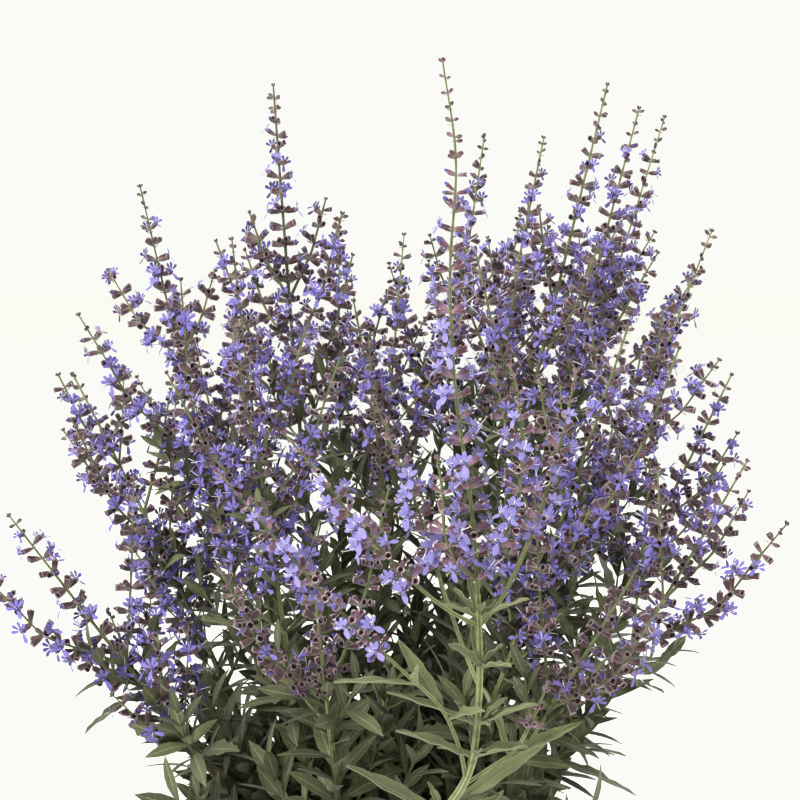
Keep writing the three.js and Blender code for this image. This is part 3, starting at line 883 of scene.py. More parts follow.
class Bench:
    """Where a small piece is modelled with Blender's own tools, one step after another."""

    def __init__(self, add: Callable[..., set[str]], **sizes: object) -> None:
        """Adds a primitive and opens it in edit mode, all of it picked.

        Args:
            add: The operator that adds the primitive.
            sizes: What the operator is given.
        """
        bpy.ops.object.select_all(action="DESELECT")
        add(**sizes)
        self.piece = bpy.context.object
        bpy.ops.object.transform_apply()
        bpy.ops.object.mode_set(mode="EDIT")

    def pick(self, kind: Kind, test: Callable[..., bool]) -> "Bench":
        """Picks the points, edges or faces that pass a test.

        Args:
            kind: What is picked.
            test: Tells from a point's place, an edge's two ends, or a face's centre and normal
                whether it is picked.

        Returns:
            The bench.
        """
        bpy.ops.mesh.select_mode(type=kind.value)
        bpy.ops.mesh.select_all(action="DESELECT")
        bpy.ops.object.mode_set(mode="OBJECT")
        mesh = self.piece.data
        points = mesh.vertices
        if kind is Kind.POINTS:
            for point in points:
                point.select = test(point.co)
        elif kind is Kind.EDGES:
            for edge in mesh.edges:
                edge.select = test(*(points[i].co for i in edge.vertices))
        else:
            for face in mesh.polygons:
                face.select = test(face.center, face.normal)
        bpy.ops.object.mode_set(mode="EDIT")
        return self

    @classmethod
    def drawn(cls, sides: int, rings: Sequence[Pair]) -> "Bench":
        """Draws a disc out along Z through rings, and leaves the last one's face picked.

        Args:
            sides: How many sides the disc has.
            rings: The height and radius of each ring, that of the disc first.

        Returns:
            The bench.
        """
        height, radius = rings[0]
        disc = {"vertices": sides, "radius": radius, "location": (0, 0, height), "fill_type": "NGON"}
        return cls(bpy.ops.mesh.primitive_circle_add, **disc).draw_out(rings)

    def draw_out(self, rings: Sequence[Pair]) -> "Bench":
        """Draws the picked face out along Z through rings.

        Args:
            rings: The height and radius of each ring, that of the picked face first.

        Returns:
            The bench.
        """
        for (height, radius), (next_height, next_radius) in zip(rings, rings[1:]):
            self.extrude(next_height - height)
            share = next_radius / radius
            self.scale(share, share, 1, (0, 0, next_height))
        return self

    def extrude(self, step: float) -> "Bench":
        """Draws what is picked out along Z."""
        bpy.ops.mesh.extrude_region_move(TRANSFORM_OT_translate={"value": (0, 0, step)})
        return self

    def cut(self, rings: int) -> "Bench":
        """Cuts a rod of length 1 across into rings.

        Args:
            rings: How many.

        Returns:
            The bench.
        """
        self.pick(Kind.EDGES, lambda a, b: abs(a.z - b.z) > 0.5)
        bpy.ops.mesh.subdivide(number_cuts=rings - 1)
        return self

    def move(self, x: float = 0.0, y: float = 0.0, z: float = 0.0) -> "Bench":
        """Moves what is picked."""
        bpy.ops.transform.translate(value=(x, y, z))
        return self

    def scale(
        self, x: float = 1.0, y: float = 1.0, z: float = 1.0, about: Sequence[float] = (0, 0, 0)
    ) -> "Bench":
        """Scales what is picked about a point."""
        bpy.ops.transform.resize(value=(x, y, z), center_override=about)
        return self

    def done(self) -> Piece:
        """Merges what has come together, turns every face outwards and leaves edit mode.

        Returns:
            The piece.
        """
        bpy.ops.mesh.select_all(action="SELECT")
        bpy.ops.mesh.remove_doubles(threshold=1e-4)
        bpy.ops.mesh.normals_make_consistent(inside=False)
        bpy.ops.object.mode_set(mode="OBJECT")
        return self.piece

    def shape(self) -> Shape:
        """Finishes the piece and returns it as a shape."""
        return Shape.taken_from(self.done())


class Detail(Enum):
    """How finely the parts of a flower are modelled: in front, or in the bush behind."""

    FINE = "fine"
    PLAIN = "plain"


# The rows of hairs on a calyx: their height, their distance from its axis, and how many there are
HAIR_ROWS = (
    (1.5, 0.86, 7), (2.6, 1.08, 10), (3.7, 1.1, 11), (4.6, 1.14, 13), (5.2, 1.2, 14), (5.9, 1.3, 16),
)


@dataclass(frozen=True)
class FlowerShapes:
    """The parts of one flower, each modelled once, when it is first asked for.

    Z leads out of the stem, and Y is the flower's upper side.
    """

    detail: Detail
    calyx_length: float = 5.6
    calyx_radius: float = 1.18
    mouth_radius: float = 1.2
    tube_end: float = 7.0
    lobe_length: float = 3.5
    lobe_width: float = 1.8
    lip_length: float = 4.9
    lip_width: float = 2.6
    petal_thickness: float = 0.22
    style_length: float = 5.4
    calyx_mouth: float = 4.9
    calyx_flatness: float = 0.86
    throat_depth: float = 1.5

    @property
    def fine(self) -> bool:
        """Returns whether these are the fine parts."""
        return self.detail is Detail.FINE

    @cached_property
    def calyx(self) -> Shape:
        """Models the calyx: a bellied tube whose mouth has an upper and a lower lip.

        Returns:
            The calyx.
        """
        belly, top = self.calyx_radius, self.calyx_mouth
        rings = [(0.0, 0.35), (0.7, 0.7), (2.2, belly), (3.9, belly * 1.02), (top, self.mouth_radius)]
        bench = Bench.drawn(10 if self.fine else 6, rings if self.fine else rings[::2])
        bench.pick(Kind.FACES, lambda centre, normal: centre.z > top - 0.01)
        if self.fine:
            bpy.ops.mesh.inset(thickness=0.22)
            bench.move(z=-0.1)
        bench.extrude(-self.throat_depth).scale(0.45, 0.45, 1.0, (0, 0, 3.3))
        edge = self.mouth_radius * 0.7 * 0.55
        lips = self.calyx_length - top
        bench.pick(Kind.POINTS, lambda co: co.z > top - 0.4 and co.y > edge).move(y=0.45, z=lips + 0.6)
        bench.pick(Kind.POINTS, lambda co: co.z > top - 0.4 and -co.y > edge).move(y=-0.5, z=lips + 0.3)
        bench.pick(Kind.POINTS, lambda co: True).scale(1.0, self.calyx_flatness, 1.0)
        return bench.shape()

    @cached_property
    def down(self) -> Shape:
        """Models the pale hairs on the calyx: slim needles round its belly and on its lips.

        Returns:
            All the hairs, as one shape.
        """
        needle = {"vertices": 3, "radius1": 0.06, "depth": 0.5, "location": (0, 0, 0.22)}
        hair = Bench(bpy.ops.mesh.primitive_cone_add, **needle).shape()
        draws = Draws(5)
        hairs = []
        for height, radius, count in HAIR_ROWS:
            for i in range(count):
                angle = (i + draws.next()) / count * TURN
                between_lips = height > self.calyx_length and abs(math.sin(angle)) < 0.5
                if between_lips:
                    continue
                out = np.array([math.cos(angle), math.sin(angle) * self.calyx_flatness, 0.0])
                lean = unit(out + UP * draws.between(0.0, 1.1))
                side = unit(np.cross(UP, lean))
                foot = out * radius + UP * height
                matrix = placing(side, np.cross(lean, side), lean, foot, draws.between(0.7, 1.3))
                hairs.append(hair.moved(matrix))
        return Shape.gathered(hairs)

    def petal(self, length: float, width: float) -> Shape:
        """Models one lobe along Y: a thin ovate blade, narrow at its foot and cupped.

        Args:
            length: Its length.
            width: Its greatest width.

        Returns:
            The lobe.
        """
        disc = {"vertices": 10 if self.fine else 6, "radius1": 0.5, "depth": self.petal_thickness}
        bench = Bench(bpy.ops.mesh.primitive_cone_add, **disc, end_fill_type="TRIFAN")
        bench.scale(width, length, 1.0).move(y=length / 2)
        bench.pick(Kind.POINTS, lambda co: co.y < length * 0.3).scale(0.62)
        bench.pick(Kind.POINTS, lambda co: co.y > length * 0.62).move(z=-0.12 * length)
        bench.pick(Kind.POINTS, lambda co: abs(co.x) > width * 0.3).move(z=0.1 * width)
        return bench.shape()

    @cached_property
    def corolla(self) -> Shape:
        """Models the open flower: a tube, four small upper lobes and one long lower lip.

        Returns:
            The corolla.
        """
        rings = [(3.6, 0.55), (5.4, 0.65), (self.tube_end, 1.05)]
        tube = Bench.drawn(8 if self.fine else 5, rings if self.fine else rings[::2])
        tube.extrude(-1.2).scale(0.5, 0.5, 1.0, (0, 0, self.tube_end))
        parts = [tube.shape()]
        lobe = self.petal(self.lobe_length, self.lobe_width)
        for angle, lean, foot in ((-62, 70, 0.75), (-21, 78, 0.85), (21, 74, 0.85), (62, 72, 0.75)):
            parts.append(self.fanned(lobe, angle * DEGREE, lean * DEGREE, foot))
        lip = self.petal(self.lip_length, self.lip_width)
        parts.append(self.fanned(lip, 180 * DEGREE, 58 * DEGREE, 0.7))
        return Shape.gathered(parts)

    def fanned(self, petal: Shape, angle: float, lean: float, foot: float) -> Shape:
        """Sets a lobe on the tube's mouth, turned about the tube and leaned out from it."""
        leaned = petal.moved(turned("X", TURN / 4 - lean, (0, foot, self.tube_end - 0.15)))
        return leaned.moved(turned("Z", angle))

    @cached_property
    def style(self) -> Shape:
        """Models the style: a pale thread that stands out of the throat and forks at its end.

        Returns:
            The style.
        """
        start = self.tube_end - 1.0
        bench = Bench.drawn(3, [(start, 0.17), (start + self.style_length, 0.13)]).move(y=0.9)
        if self.fine:
            bench.draw_out([(0, 0.1), (0.5, 0.17), (0.9, 0.05)])
        return bench.shape()

    @cached_property
    def closed(self) -> Shape:
        """Models a flower still closed: a small violet club that looks out of the calyx."""
        rings = [(3.4, 0.5), (5.2, 0.75), (6.4, 1.0), (7.2, 0.8), (7.7, 0.3)]
        return Bench.drawn(7 if self.fine else 4, rings if self.fine else rings[::2]).shape()

    @cached_property
    def bud(self) -> Shape:
        """Models a young bud: a closed calyx, egg-shaped, on its short stalk.

        Returns:
            The bud.
        """
        plain = [(0.0, 0.3), (2.1, 1.3), (3.5, 1.35), (5.0, 0.35)]
        rings = sorted([*plain, (0.8, 0.75), (4.5, 0.95)]) if self.fine else plain
        return Bench.drawn(8 if self.fine else 5, rings).shape()

    @cached_property
    def bract(self) -> Shape:
        """Models the small green bract under a cluster of flowers."""
        return self.petal(3.2, 1.1)


@dataclass(frozen=True)
class BladeShape:
    """The flat leaf before it is bent: X runs from 0 to 1 along it, and Y is a share of its width.

    A thin blade is a grid with a thickness. A light one is a flat spindle: two margins, and the rib
    above and below.
    """

    MODELLED_SIZE: ClassVar[Pair] = (34.0, 8.5)
    RIPPLES: ClassVar[float] = 2.5

    lengthwise: int
    across: int
    teeth: float
    tooth_count: float = 5
    foot: float = 0.07
    petiole: float = 0.12
    widest: float = 0.42
    fullness: float = 0.85
    tip_width: float = 0.004
    ripple: float = 0.5

    def half_width(self, u: float) -> float:
        """Reads half the width of the blade.

        Args:
            u: How far along the blade, from 0 to 1.

        Returns:
            A share of the whole width.
        """
        along = (u - self.petiole) / (1 - self.petiole)
        if along <= 0:
            return self.foot
        power = self.widest / (1 - self.widest)
        body = (along**power * (1 - along)) / (self.widest**power * (1 - self.widest))
        tooth = 0.5 + 0.5 * math.cos(TURN * self.tooth_count * along)
        toothed = 1 - self.teeth * tooth * eased(u, 0.15, 0.3) * (1 - eased(u, 0.8, 1.0))
        return max(0.5 * body**self.fullness * toothed, self.foot * (1 - u), self.tip_width)

    def spindle(self) -> Shape:
        """Models the light blade from a rod with four edges that is cut into rings.

        Returns:
            The blade.
        """
        rod = Bench(bpy.ops.mesh.primitive_cylinder_add, vertices=4, **ROD).cut(self.lengthwise).shape()
        points, form = [], []
        for x, y, u in rod.points:
            # The rod's X is the blade's margins and its Y the rib above and below
            form.append((u, x, y))
            ripple = self.ripple * math.sin(TURN * self.RIPPLES * u) * x * x
            points.append((u, x * self.half_width(u), ripple + y * HABIT.thickness * 0.5))
        rod.points = np.array(points)
        rod.form = np.array(form)
        rod.corners = turned_inside_out(rod)
        return rod

    def thin(self) -> Shape:
        """Models the thin blade as a grid that narrows to its foot and tip, with a thickness.

        Returns:
            The blade.
        """
        length, width = self.MODELLED_SIZE
        cuts = {"x_subdivisions": self.lengthwise, "y_subdivisions": self.across}
        bench = Bench(bpy.ops.mesh.primitive_grid_add, **cuts, size=2)
        bpy.ops.object.mode_set(mode="OBJECT")
        grid = bench.piece.data.vertices
        form = np.array([((point.co.x + 1) / 2, point.co.y, 0.0) for point in grid])
        for point, (u, side, _) in zip(grid, form):
            ripple = self.ripple * math.sin(TURN * self.RIPPLES * u + 0.8 * side) * side * side
            rib = -0.3 if side == 0 else 0.0
            point.co = (u * length, side * self.half_width(u) * width, ripple + rib)
        apply_modifier(bench.piece, "SOLIDIFY", thickness=HABIT.thickness, offset=0)
        solid = Shape.taken_from(bench.piece)
        # The solid keeps the grid's points for one side, then repeats them for the other
        solid.form = np.vstack([form, form])
        solid.points /= (length, width, 1.0)
        return solid


def turned_inside_out(shape: Shape) -> Array:
    """Lists each face of a shape the other way round.

    Args:
        shape: The shape.

    Returns:
        Its corners in their new order.
    """
    ends = np.cumsum(shape.sizes)
    faces = [shape.corners[end - size:end][::-1] for size, end in zip(shape.sizes, ends)]
    return np.concatenate(faces)


class Finish(Enum):
    """The finishes that the faces of a piece can wear."""

    STALK = "stalk"
    LEAF = "leaf"
    CALYX = "calyx"
    DOWN = "down"
    PETAL = "petal"
    STYLE = "style"


Palette = dict[Finish, Material]


class Dressing(Protocol):
    """What every finish of the plant can do."""

    def material(self) -> Material:
        """Returns the material."""


class Tissue:
    """Gathers the shapes of one piece into one mesh."""

    def __init__(self) -> None:
        """Starts with nothing."""
        self.points: list[Array] = []
        self.forms: list[Array] = []
        self.tones: list[Array] = []
        self.corners: list[Array] = []
        self.sizes: list[Array] = []
        self.finishes: list[Array] = []
        self.copies: dict[tuple[int, Finish], tuple[Shape, list[Array], list[float]]] = {}
        self.count = 0

    def add(self, shape: Shape, copies: Array, tones: Sequence[float], finish: Finish) -> None:
        """Takes in copies of a shape.

        Args:
            shape: The shape.
            copies: The points of each copy.
            tones: Each copy's own shade, from 0 to 1.
            finish: What they wear.
        """
        count, each = copies.shape[:2]
        starts = self.count + np.arange(count)[:, None] * each
        self.points.append(copies.reshape(-1, 3))
        self.forms.append(np.tile(shape.form, (count, 1)))
        self.tones.append(np.repeat(tones, each))
        self.corners.append((starts + shape.corners).ravel())
        self.sizes.append(np.tile(shape.sizes, count))
        self.finishes.append(np.full(count * len(shape.sizes), list(Finish).index(finish)))
        self.count += count * each

    def add_leaf(self, leaf: Leaf, blade: Shape, tone: float) -> None:
        """Takes in a leaf, bent from a flat blade."""
        self.add(blade, leaf.points(blade.points)[None], [tone], Finish.LEAF)

    def place(self, shape: Shape, matrix: Array, tone: float, finish: Finish) -> None:
        """Notes a stiff copy of a shape, which is made with the others like it.

        Args:
            shape: The shape.
            matrix: Where it goes.
            tone: Its own shade, from 0 to 1.
            finish: What it wears.
        """
        _, matrices, tones = self.copies.setdefault((id(shape), finish), (shape, [], []))
        matrices.append(matrix)
        tones.append(tone)

    def make_copies(self) -> None:
        """Makes the stiff copies that are noted."""
        for (_, finish), (shape, matrices, tones) in self.copies.items():
            stack = np.array(matrices)
            points = np.einsum("kij,nj->kni", stack[:, :, :3], shape.points) + stack[:, None, :, 3]
            self.add(shape, points, tones, finish)

    def piece(self, name: str, palette: Palette) -> Piece:
        """Makes the piece.

        Args:
            name: The piece's name.
            palette: The material of each finish.

        Returns:
            The piece, in metres, at the origin.
        """
        self.make_copies()
        worn = np.concatenate(self.finishes)
        used = sorted(set(worn.tolist()))
        sizes = np.concatenate(self.sizes)
        points = np.vstack(self.points)
        mesh = bpy.data.meshes.new(name)
        mesh.vertices.add(len(points))
        mesh.vertices.foreach_set("co", ((points + UP * SOIL_LEVEL) * MM).ravel())
        corners = np.concatenate(self.corners)
        mesh.loops.add(len(corners))
        mesh.loops.foreach_set("vertex_index", corners)
        mesh.polygons.add(len(sizes))
        mesh.polygons.foreach_set("loop_start", np.cumsum(sizes) - sizes)
        mesh.polygons.foreach_set("material_index", np.searchsorted(used, worn))
        mesh.update(calc_edges=True)
        mesh.validate()
        form = mesh.attributes.new("form", "FLOAT_VECTOR", "POINT")
        form.data.foreach_set("vector", np.vstack(self.forms).ravel())
        tone = mesh.attributes.new("tone", "FLOAT", "POINT")
        tone.data.foreach_set("value", np.concatenate(self.tones))
        for index in used:
            mesh.materials.append(palette[list(Finish)[index]])
        piece = bpy.data.objects.new(name, mesh)
        bpy.context.scene.collection.objects.link(piece)
        smooth(piece, SMOOTH_UNDER)
        return piece


def smooth(piece: Piece, angle: float) -> None:
    """Smooths the shading of a piece over edges that are blunter than an angle."""
    take_up(piece)
    bpy.ops.object.shade_smooth_by_angle(angle=angle)


class Stalks:
    """Straight stalks, modelled once for each count of rings, that are bent along lines."""

    GROOVE = 0.66
    RING_STEP = 5.0
    NODE_SWELLING = 0.3
    NODE_REACH = 2.2

    def __init__(self) -> None:
        """Starts with no stalk modelled."""
        self.shapes: dict[int, Shape] = {}

    def straight(self, rings: int) -> Shape:
        """Models a straight stalk, square with grooved sides, when it is first asked for.

        Args:
            rings: How many rings it is cut into.

        Returns:
            The stalk, whose form's first number is 1 on its ridges and 0 in its grooves.
        """
        if rings not in self.shapes:
            bench = Bench(bpy.ops.mesh.primitive_cylinder_add, vertices=8, **ROD)
            bench.pick(Kind.POINTS, lambda co: min(abs(co.x), abs(co.y)) < 0.1)
            shape = bench.scale(self.GROOVE, self.GROOVE, 1.0).cut(rings).shape()
            ridge = (np.linalg.norm(shape.points[:, :2], axis=1) - self.GROOVE) / (1 - self.GROOVE)
            shape.form[:, 0] = np.clip(ridge, 0, 1)
            self.shapes[rings] = shape
        return self.shapes[rings]

    def bend(
        self, tissue: Tissue, line: Line, start: float, end: float, radii: Pair,
        nodes: Sequence[float] = (), tone: float = 0.5, rings: int = 0,
    ) -> None:
        """Bends a stalk along a stretch of a line and adds it to a piece.

        Args:
            tissue: Where it goes.
            line: The line that it follows.
            start: Where on the line it begins.
            end: Where on the line it ends.
            radii: Its radius at either end.
            nodes: Where along the line it swells to bear leaves.
            tone: Its own shade.
            rings: How many rings it has, or 0 for as many as its length asks for.
        """
        rings = rings or 8 * math.ceil((end - start) / self.RING_STEP / 8)
        straight = self.straight(rings)
        shares = np.arange(rings + 1) / rings
        index = np.rint(straight.points[:, 2] * rings).astype(int)
        at, out, beside, radius = [], [], [], []
        for share in shares:
            distance = mix(start, end, share)
            frame = line.frame(distance)
            near = max((1 - abs(distance - node) / self.NODE_REACH for node in nodes), default=0.0)
            at.append(line.at(distance))
            out.append(frame[1])
            beside.append(frame[2])
            radius.append(mix(*radii, share) * (1 + self.NODE_SWELLING * max(near, 0.0)))
        spread = straight.points[:, :2] * np.array(radius)[index, None]
        points = np.array(at)[index] + spread[:, :1] * np.array(out)[index]
        points += spread[:, 1:] * np.array(beside)[index]
        form = straight.form.copy()
        form[:, 1] = points[:, 2] / 100
        form[:, 2] = mix(start, end, straight.points[:, 2])
        bent = Shape(points, straight.corners, straight.sizes, form)
        tissue.add(bent, points[None], [tone], Finish.STALK)


# The shades that tell the petal finish whether a flower is closed or open
CLOSED_TONES = (0.0, 0.35)
OPEN_TONES = (0.45, 1.0)


class Stage(Enum):
    """How far a flower has come."""

    BUD = "bud"
    CALYX = "calyx"
    CLOSED = "closed"
    OPEN = "open"


@dataclass(frozen=True)
class WhorlRule:
    """How the whorls of flowers stand on a spike."""

    pitch_low: float = 9.2
    pitch_tip: float = 4.7
    pitch_fall: float = 2.2
    tip_bare: float = 2.5
    twist: float = 62 * DEGREE
    twist_spread: float = 18 * DEGREE
    fan: float = 40 * DEGREE
    rise: Pair = (2 * DEGREE, 40 * DEGREE)
    buds_from: float = 0.8
    open_until: float = 0.74
    shrink_from: float = 0.5
    tip_size: float = 0.46
    threes_until: float = 0.62
    twos_until: float = 0.9
    bud_spread: float = 0.06
    closed_share: float = 0.14
    count_spread: float = 0.14
    narrow_fan: float = 0.55
    fan_spread: float = 9 * DEGREE
    facing_step: float = 0.5
    flower_size: Pair = (0.84, 1.08)
    flower_offset: float = 0.9
    flower_roll: float = 24 * DEGREE
    bract_below: float = 1.2
    bract_lift: Pair = (10 * DEGREE, 45 * DEGREE)
    bract_size: Pair = (0.8, 1.4)
    tip_buds: int = 4
    tip_lean: Pair = (0.4, 1.0)
    tip_bud_size: Pair = (0.34, 0.46)

    def distances(self, start: float, end: float) -> list[Pair]:
        """Spaces the whorls, closer towards the tip.

        Args:
            start: Where on its line the spike's flowers begin.
            end: Where the spike ends.

        Returns:
            Each whorl's place along the line, and its share of the way up the spike.
        """
        found = []
        distance = start
        while distance < end - self.tip_bare:
            share = (distance - start) / (end - start)
            found.append((distance, share))
            distance += mix(self.pitch_low, self.pitch_tip, share**self.pitch_fall)
        return found


@dataclass(frozen=True)
class SpikeStyle:
    """What flower spikes are dressed with, and how their flowers stand."""

    flowers: FlowerShapes
    stalks: Stalks
    rule: WhorlRule
    open_share: float
    downy: bool = False
    facing: float | None = None
    flush: Pair = (0.0, 1.0)


@dataclass(frozen=True)
class Whorl:
    """A node of a spike, which bears a cluster of flowers on either side."""

    distance: float
    share: float
    angle: float
    axis_radius: float


@dataclass(frozen=True)
class Spike:
    """One flower spike: its axis, its whorls and its tip, dressed along its line."""

    style: SpikeStyle
    tissue: Tissue
    draws: Draws
    line: Line
    start: float
    bare: float
    radii: Pair

    def grow(self) -> None:
        """Adds the whole spike to its piece."""
        style, rule, line = self.style, self.style.rule, self.line
        length = line.length - self.start
        places = rule.distances(self.start + self.bare, line.length)
        nodes = [distance for distance, _ in places]
        flush = self.draws.between(*style.flush)
        style.stalks.bend(self.tissue, line, self.start, line.length, self.radii, nodes, flush)
        turn = self.draws.next() * TURN if style.facing is None else style.facing - line.turn
        for index, (distance, share) in enumerate(places):
            step = index * rule.twist if style.facing is None else (index % 3 - 1) * rule.facing_step
            angle = turn + step + self.draws.about(rule.twist_spread)
            self.add_whorl(Whorl(distance, share, angle, mix(*self.radii, (distance - self.start) / length)))
        self.add_tip()

    def add_whorl(self, whorl: Whorl) -> None:
        """Adds the two clusters of flowers at a node.

        Args:
            whorl: The node.
        """
        rule = self.style.rule
        shrink = mix(1, rule.tip_size, eased(whorl.share, rule.shrink_from, 1.0))
        for half in (0, TURN / 2):
            self.add_bract(whorl.distance - rule.bract_below, whorl.angle + half, shrink)
            chance = whorl.share + self.draws.about(rule.count_spread)
            count = 3 if chance < rule.threes_until else 2 if chance < rule.twos_until else 1
            fan = rule.fan * (1 if count == 3 else rule.narrow_fan)
            for i in range(count):
                offset = (i - (count - 1) / 2) * fan + self.draws.about(rule.fan_spread)
                size = shrink * self.draws.between(*rule.flower_size)
                self.add_flower(whorl, whorl.angle + half + offset, size)

    def add_flower(self, whorl: Whorl, angle: float, size: float) -> None:
        """Adds one flower, with what its stage calls for.

        Args:
            whorl: The node that it stands at.
            angle: The angle about the line that it faces.
            size: Its scale.
        """
        rule, flowers, draws = self.style.rule, self.style.flowers, self.draws
        at = whorl.distance + draws.about(rule.flower_offset)
        along, out, beside = self.line.frame(at, angle)
        ahead = tilted(out, along, draws.between(*rule.rise))
        x = tilted(beside, np.cross(ahead, beside), draws.about(rule.flower_roll))
        foot = self.line.at(at) + out * whorl.axis_radius * 0.5
        matrix = placing(x, np.cross(ahead, x), ahead, foot, size)
        tone = draws.next()
        stage = self.stage(whorl.share)
        parts = [(flowers.bud if stage is Stage.BUD else flowers.calyx, tone, Finish.CALYX)]
        if self.style.downy:
            parts.append((flowers.down, tone, Finish.DOWN))
        if stage is Stage.CLOSED:
            parts.append((flowers.closed, mix(*CLOSED_TONES, tone), Finish.PETAL))
        if stage is Stage.OPEN:
            parts.append((flowers.corolla, mix(*OPEN_TONES, tone), Finish.PETAL))
            parts.append((flowers.style, tone, Finish.STYLE))
        for shape, shade, finish in parts:
            self.tissue.place(shape, matrix, shade, finish)

    def stage(self, share: float) -> Stage:
        """Draws how far a flower has come.

        Args:
            share: How far up the spike it is.

        Returns:
            The stage.
        """
        rule, open_share = self.style.rule, self.style.open_share
        chance = self.draws.next()
        if share > rule.buds_from + rule.bud_spread * self.draws.about(1):
            return Stage.BUD
        if share < rule.open_until and chance < open_share:
            return Stage.OPEN
        return Stage.CLOSED if chance < open_share + rule.closed_share else Stage.CALYX

    def add_bract(self, distance: float, angle: float, size: float) -> None:
        """Adds the bract under a cluster.

        Args:
            distance: Where along the line it stands.
            angle: The angle about the line that it faces.
            size: The scale of the whorl.
        """
        rule, draws = self.style.rule, self.draws
        along, out, beside = self.line.frame(distance, angle)
        ahead = tilted(out, along, draws.between(*rule.bract_lift))
        down = np.cross(ahead, beside)
        matrix = placing(-beside, ahead, down, self.line.at(distance), size * draws.between(*rule.bract_size))
        self.tissue.place(self.style.flowers.bract, matrix, draws.next(), Finish.LEAF)

    def add_tip(self) -> None:
        """Closes the spike with the smallest buds about its end."""
        rule, draws, line = self.style.rule, self.draws, self.line
        for i in range(rule.tip_buds):
            along, out, beside = line.frame(line.length - 1, i * TURN / rule.tip_buds + draws.about(0.4))
            ahead = unit(out * draws.between(*rule.tip_lean) + along)
            size = draws.between(*rule.tip_bud_size)
            matrix = placing(beside, np.cross(ahead, beside), ahead, line.at(line.length - 1.5), size)
            self.tissue.place(self.style.flowers.bud, matrix, draws.next(), Finish.CALYX)


@dataclass(frozen=True)
class LeafSet:
    """The flat blades that leaves are bent from."""

    broad: Shape
    narrow: Shape
    fine: Shape
    small: Shape

    @classmethod
    def modelled(cls) -> "LeafSet":
        """Models the blades.

        Returns:
            The set.
        """
        broad = BladeShape(lengthwise=12, across=2, teeth=0.36)
        narrow = BladeShape(lengthwise=5, across=2, teeth=0.0)
        fine = BladeShape(lengthwise=32, across=8, teeth=0.14, tooth_count=4, ripple=0.45)
        small = replace(fine, lengthwise=14, across=4)
        return cls(broad.spindle(), narrow.spindle(), fine.thin(), small.thin())


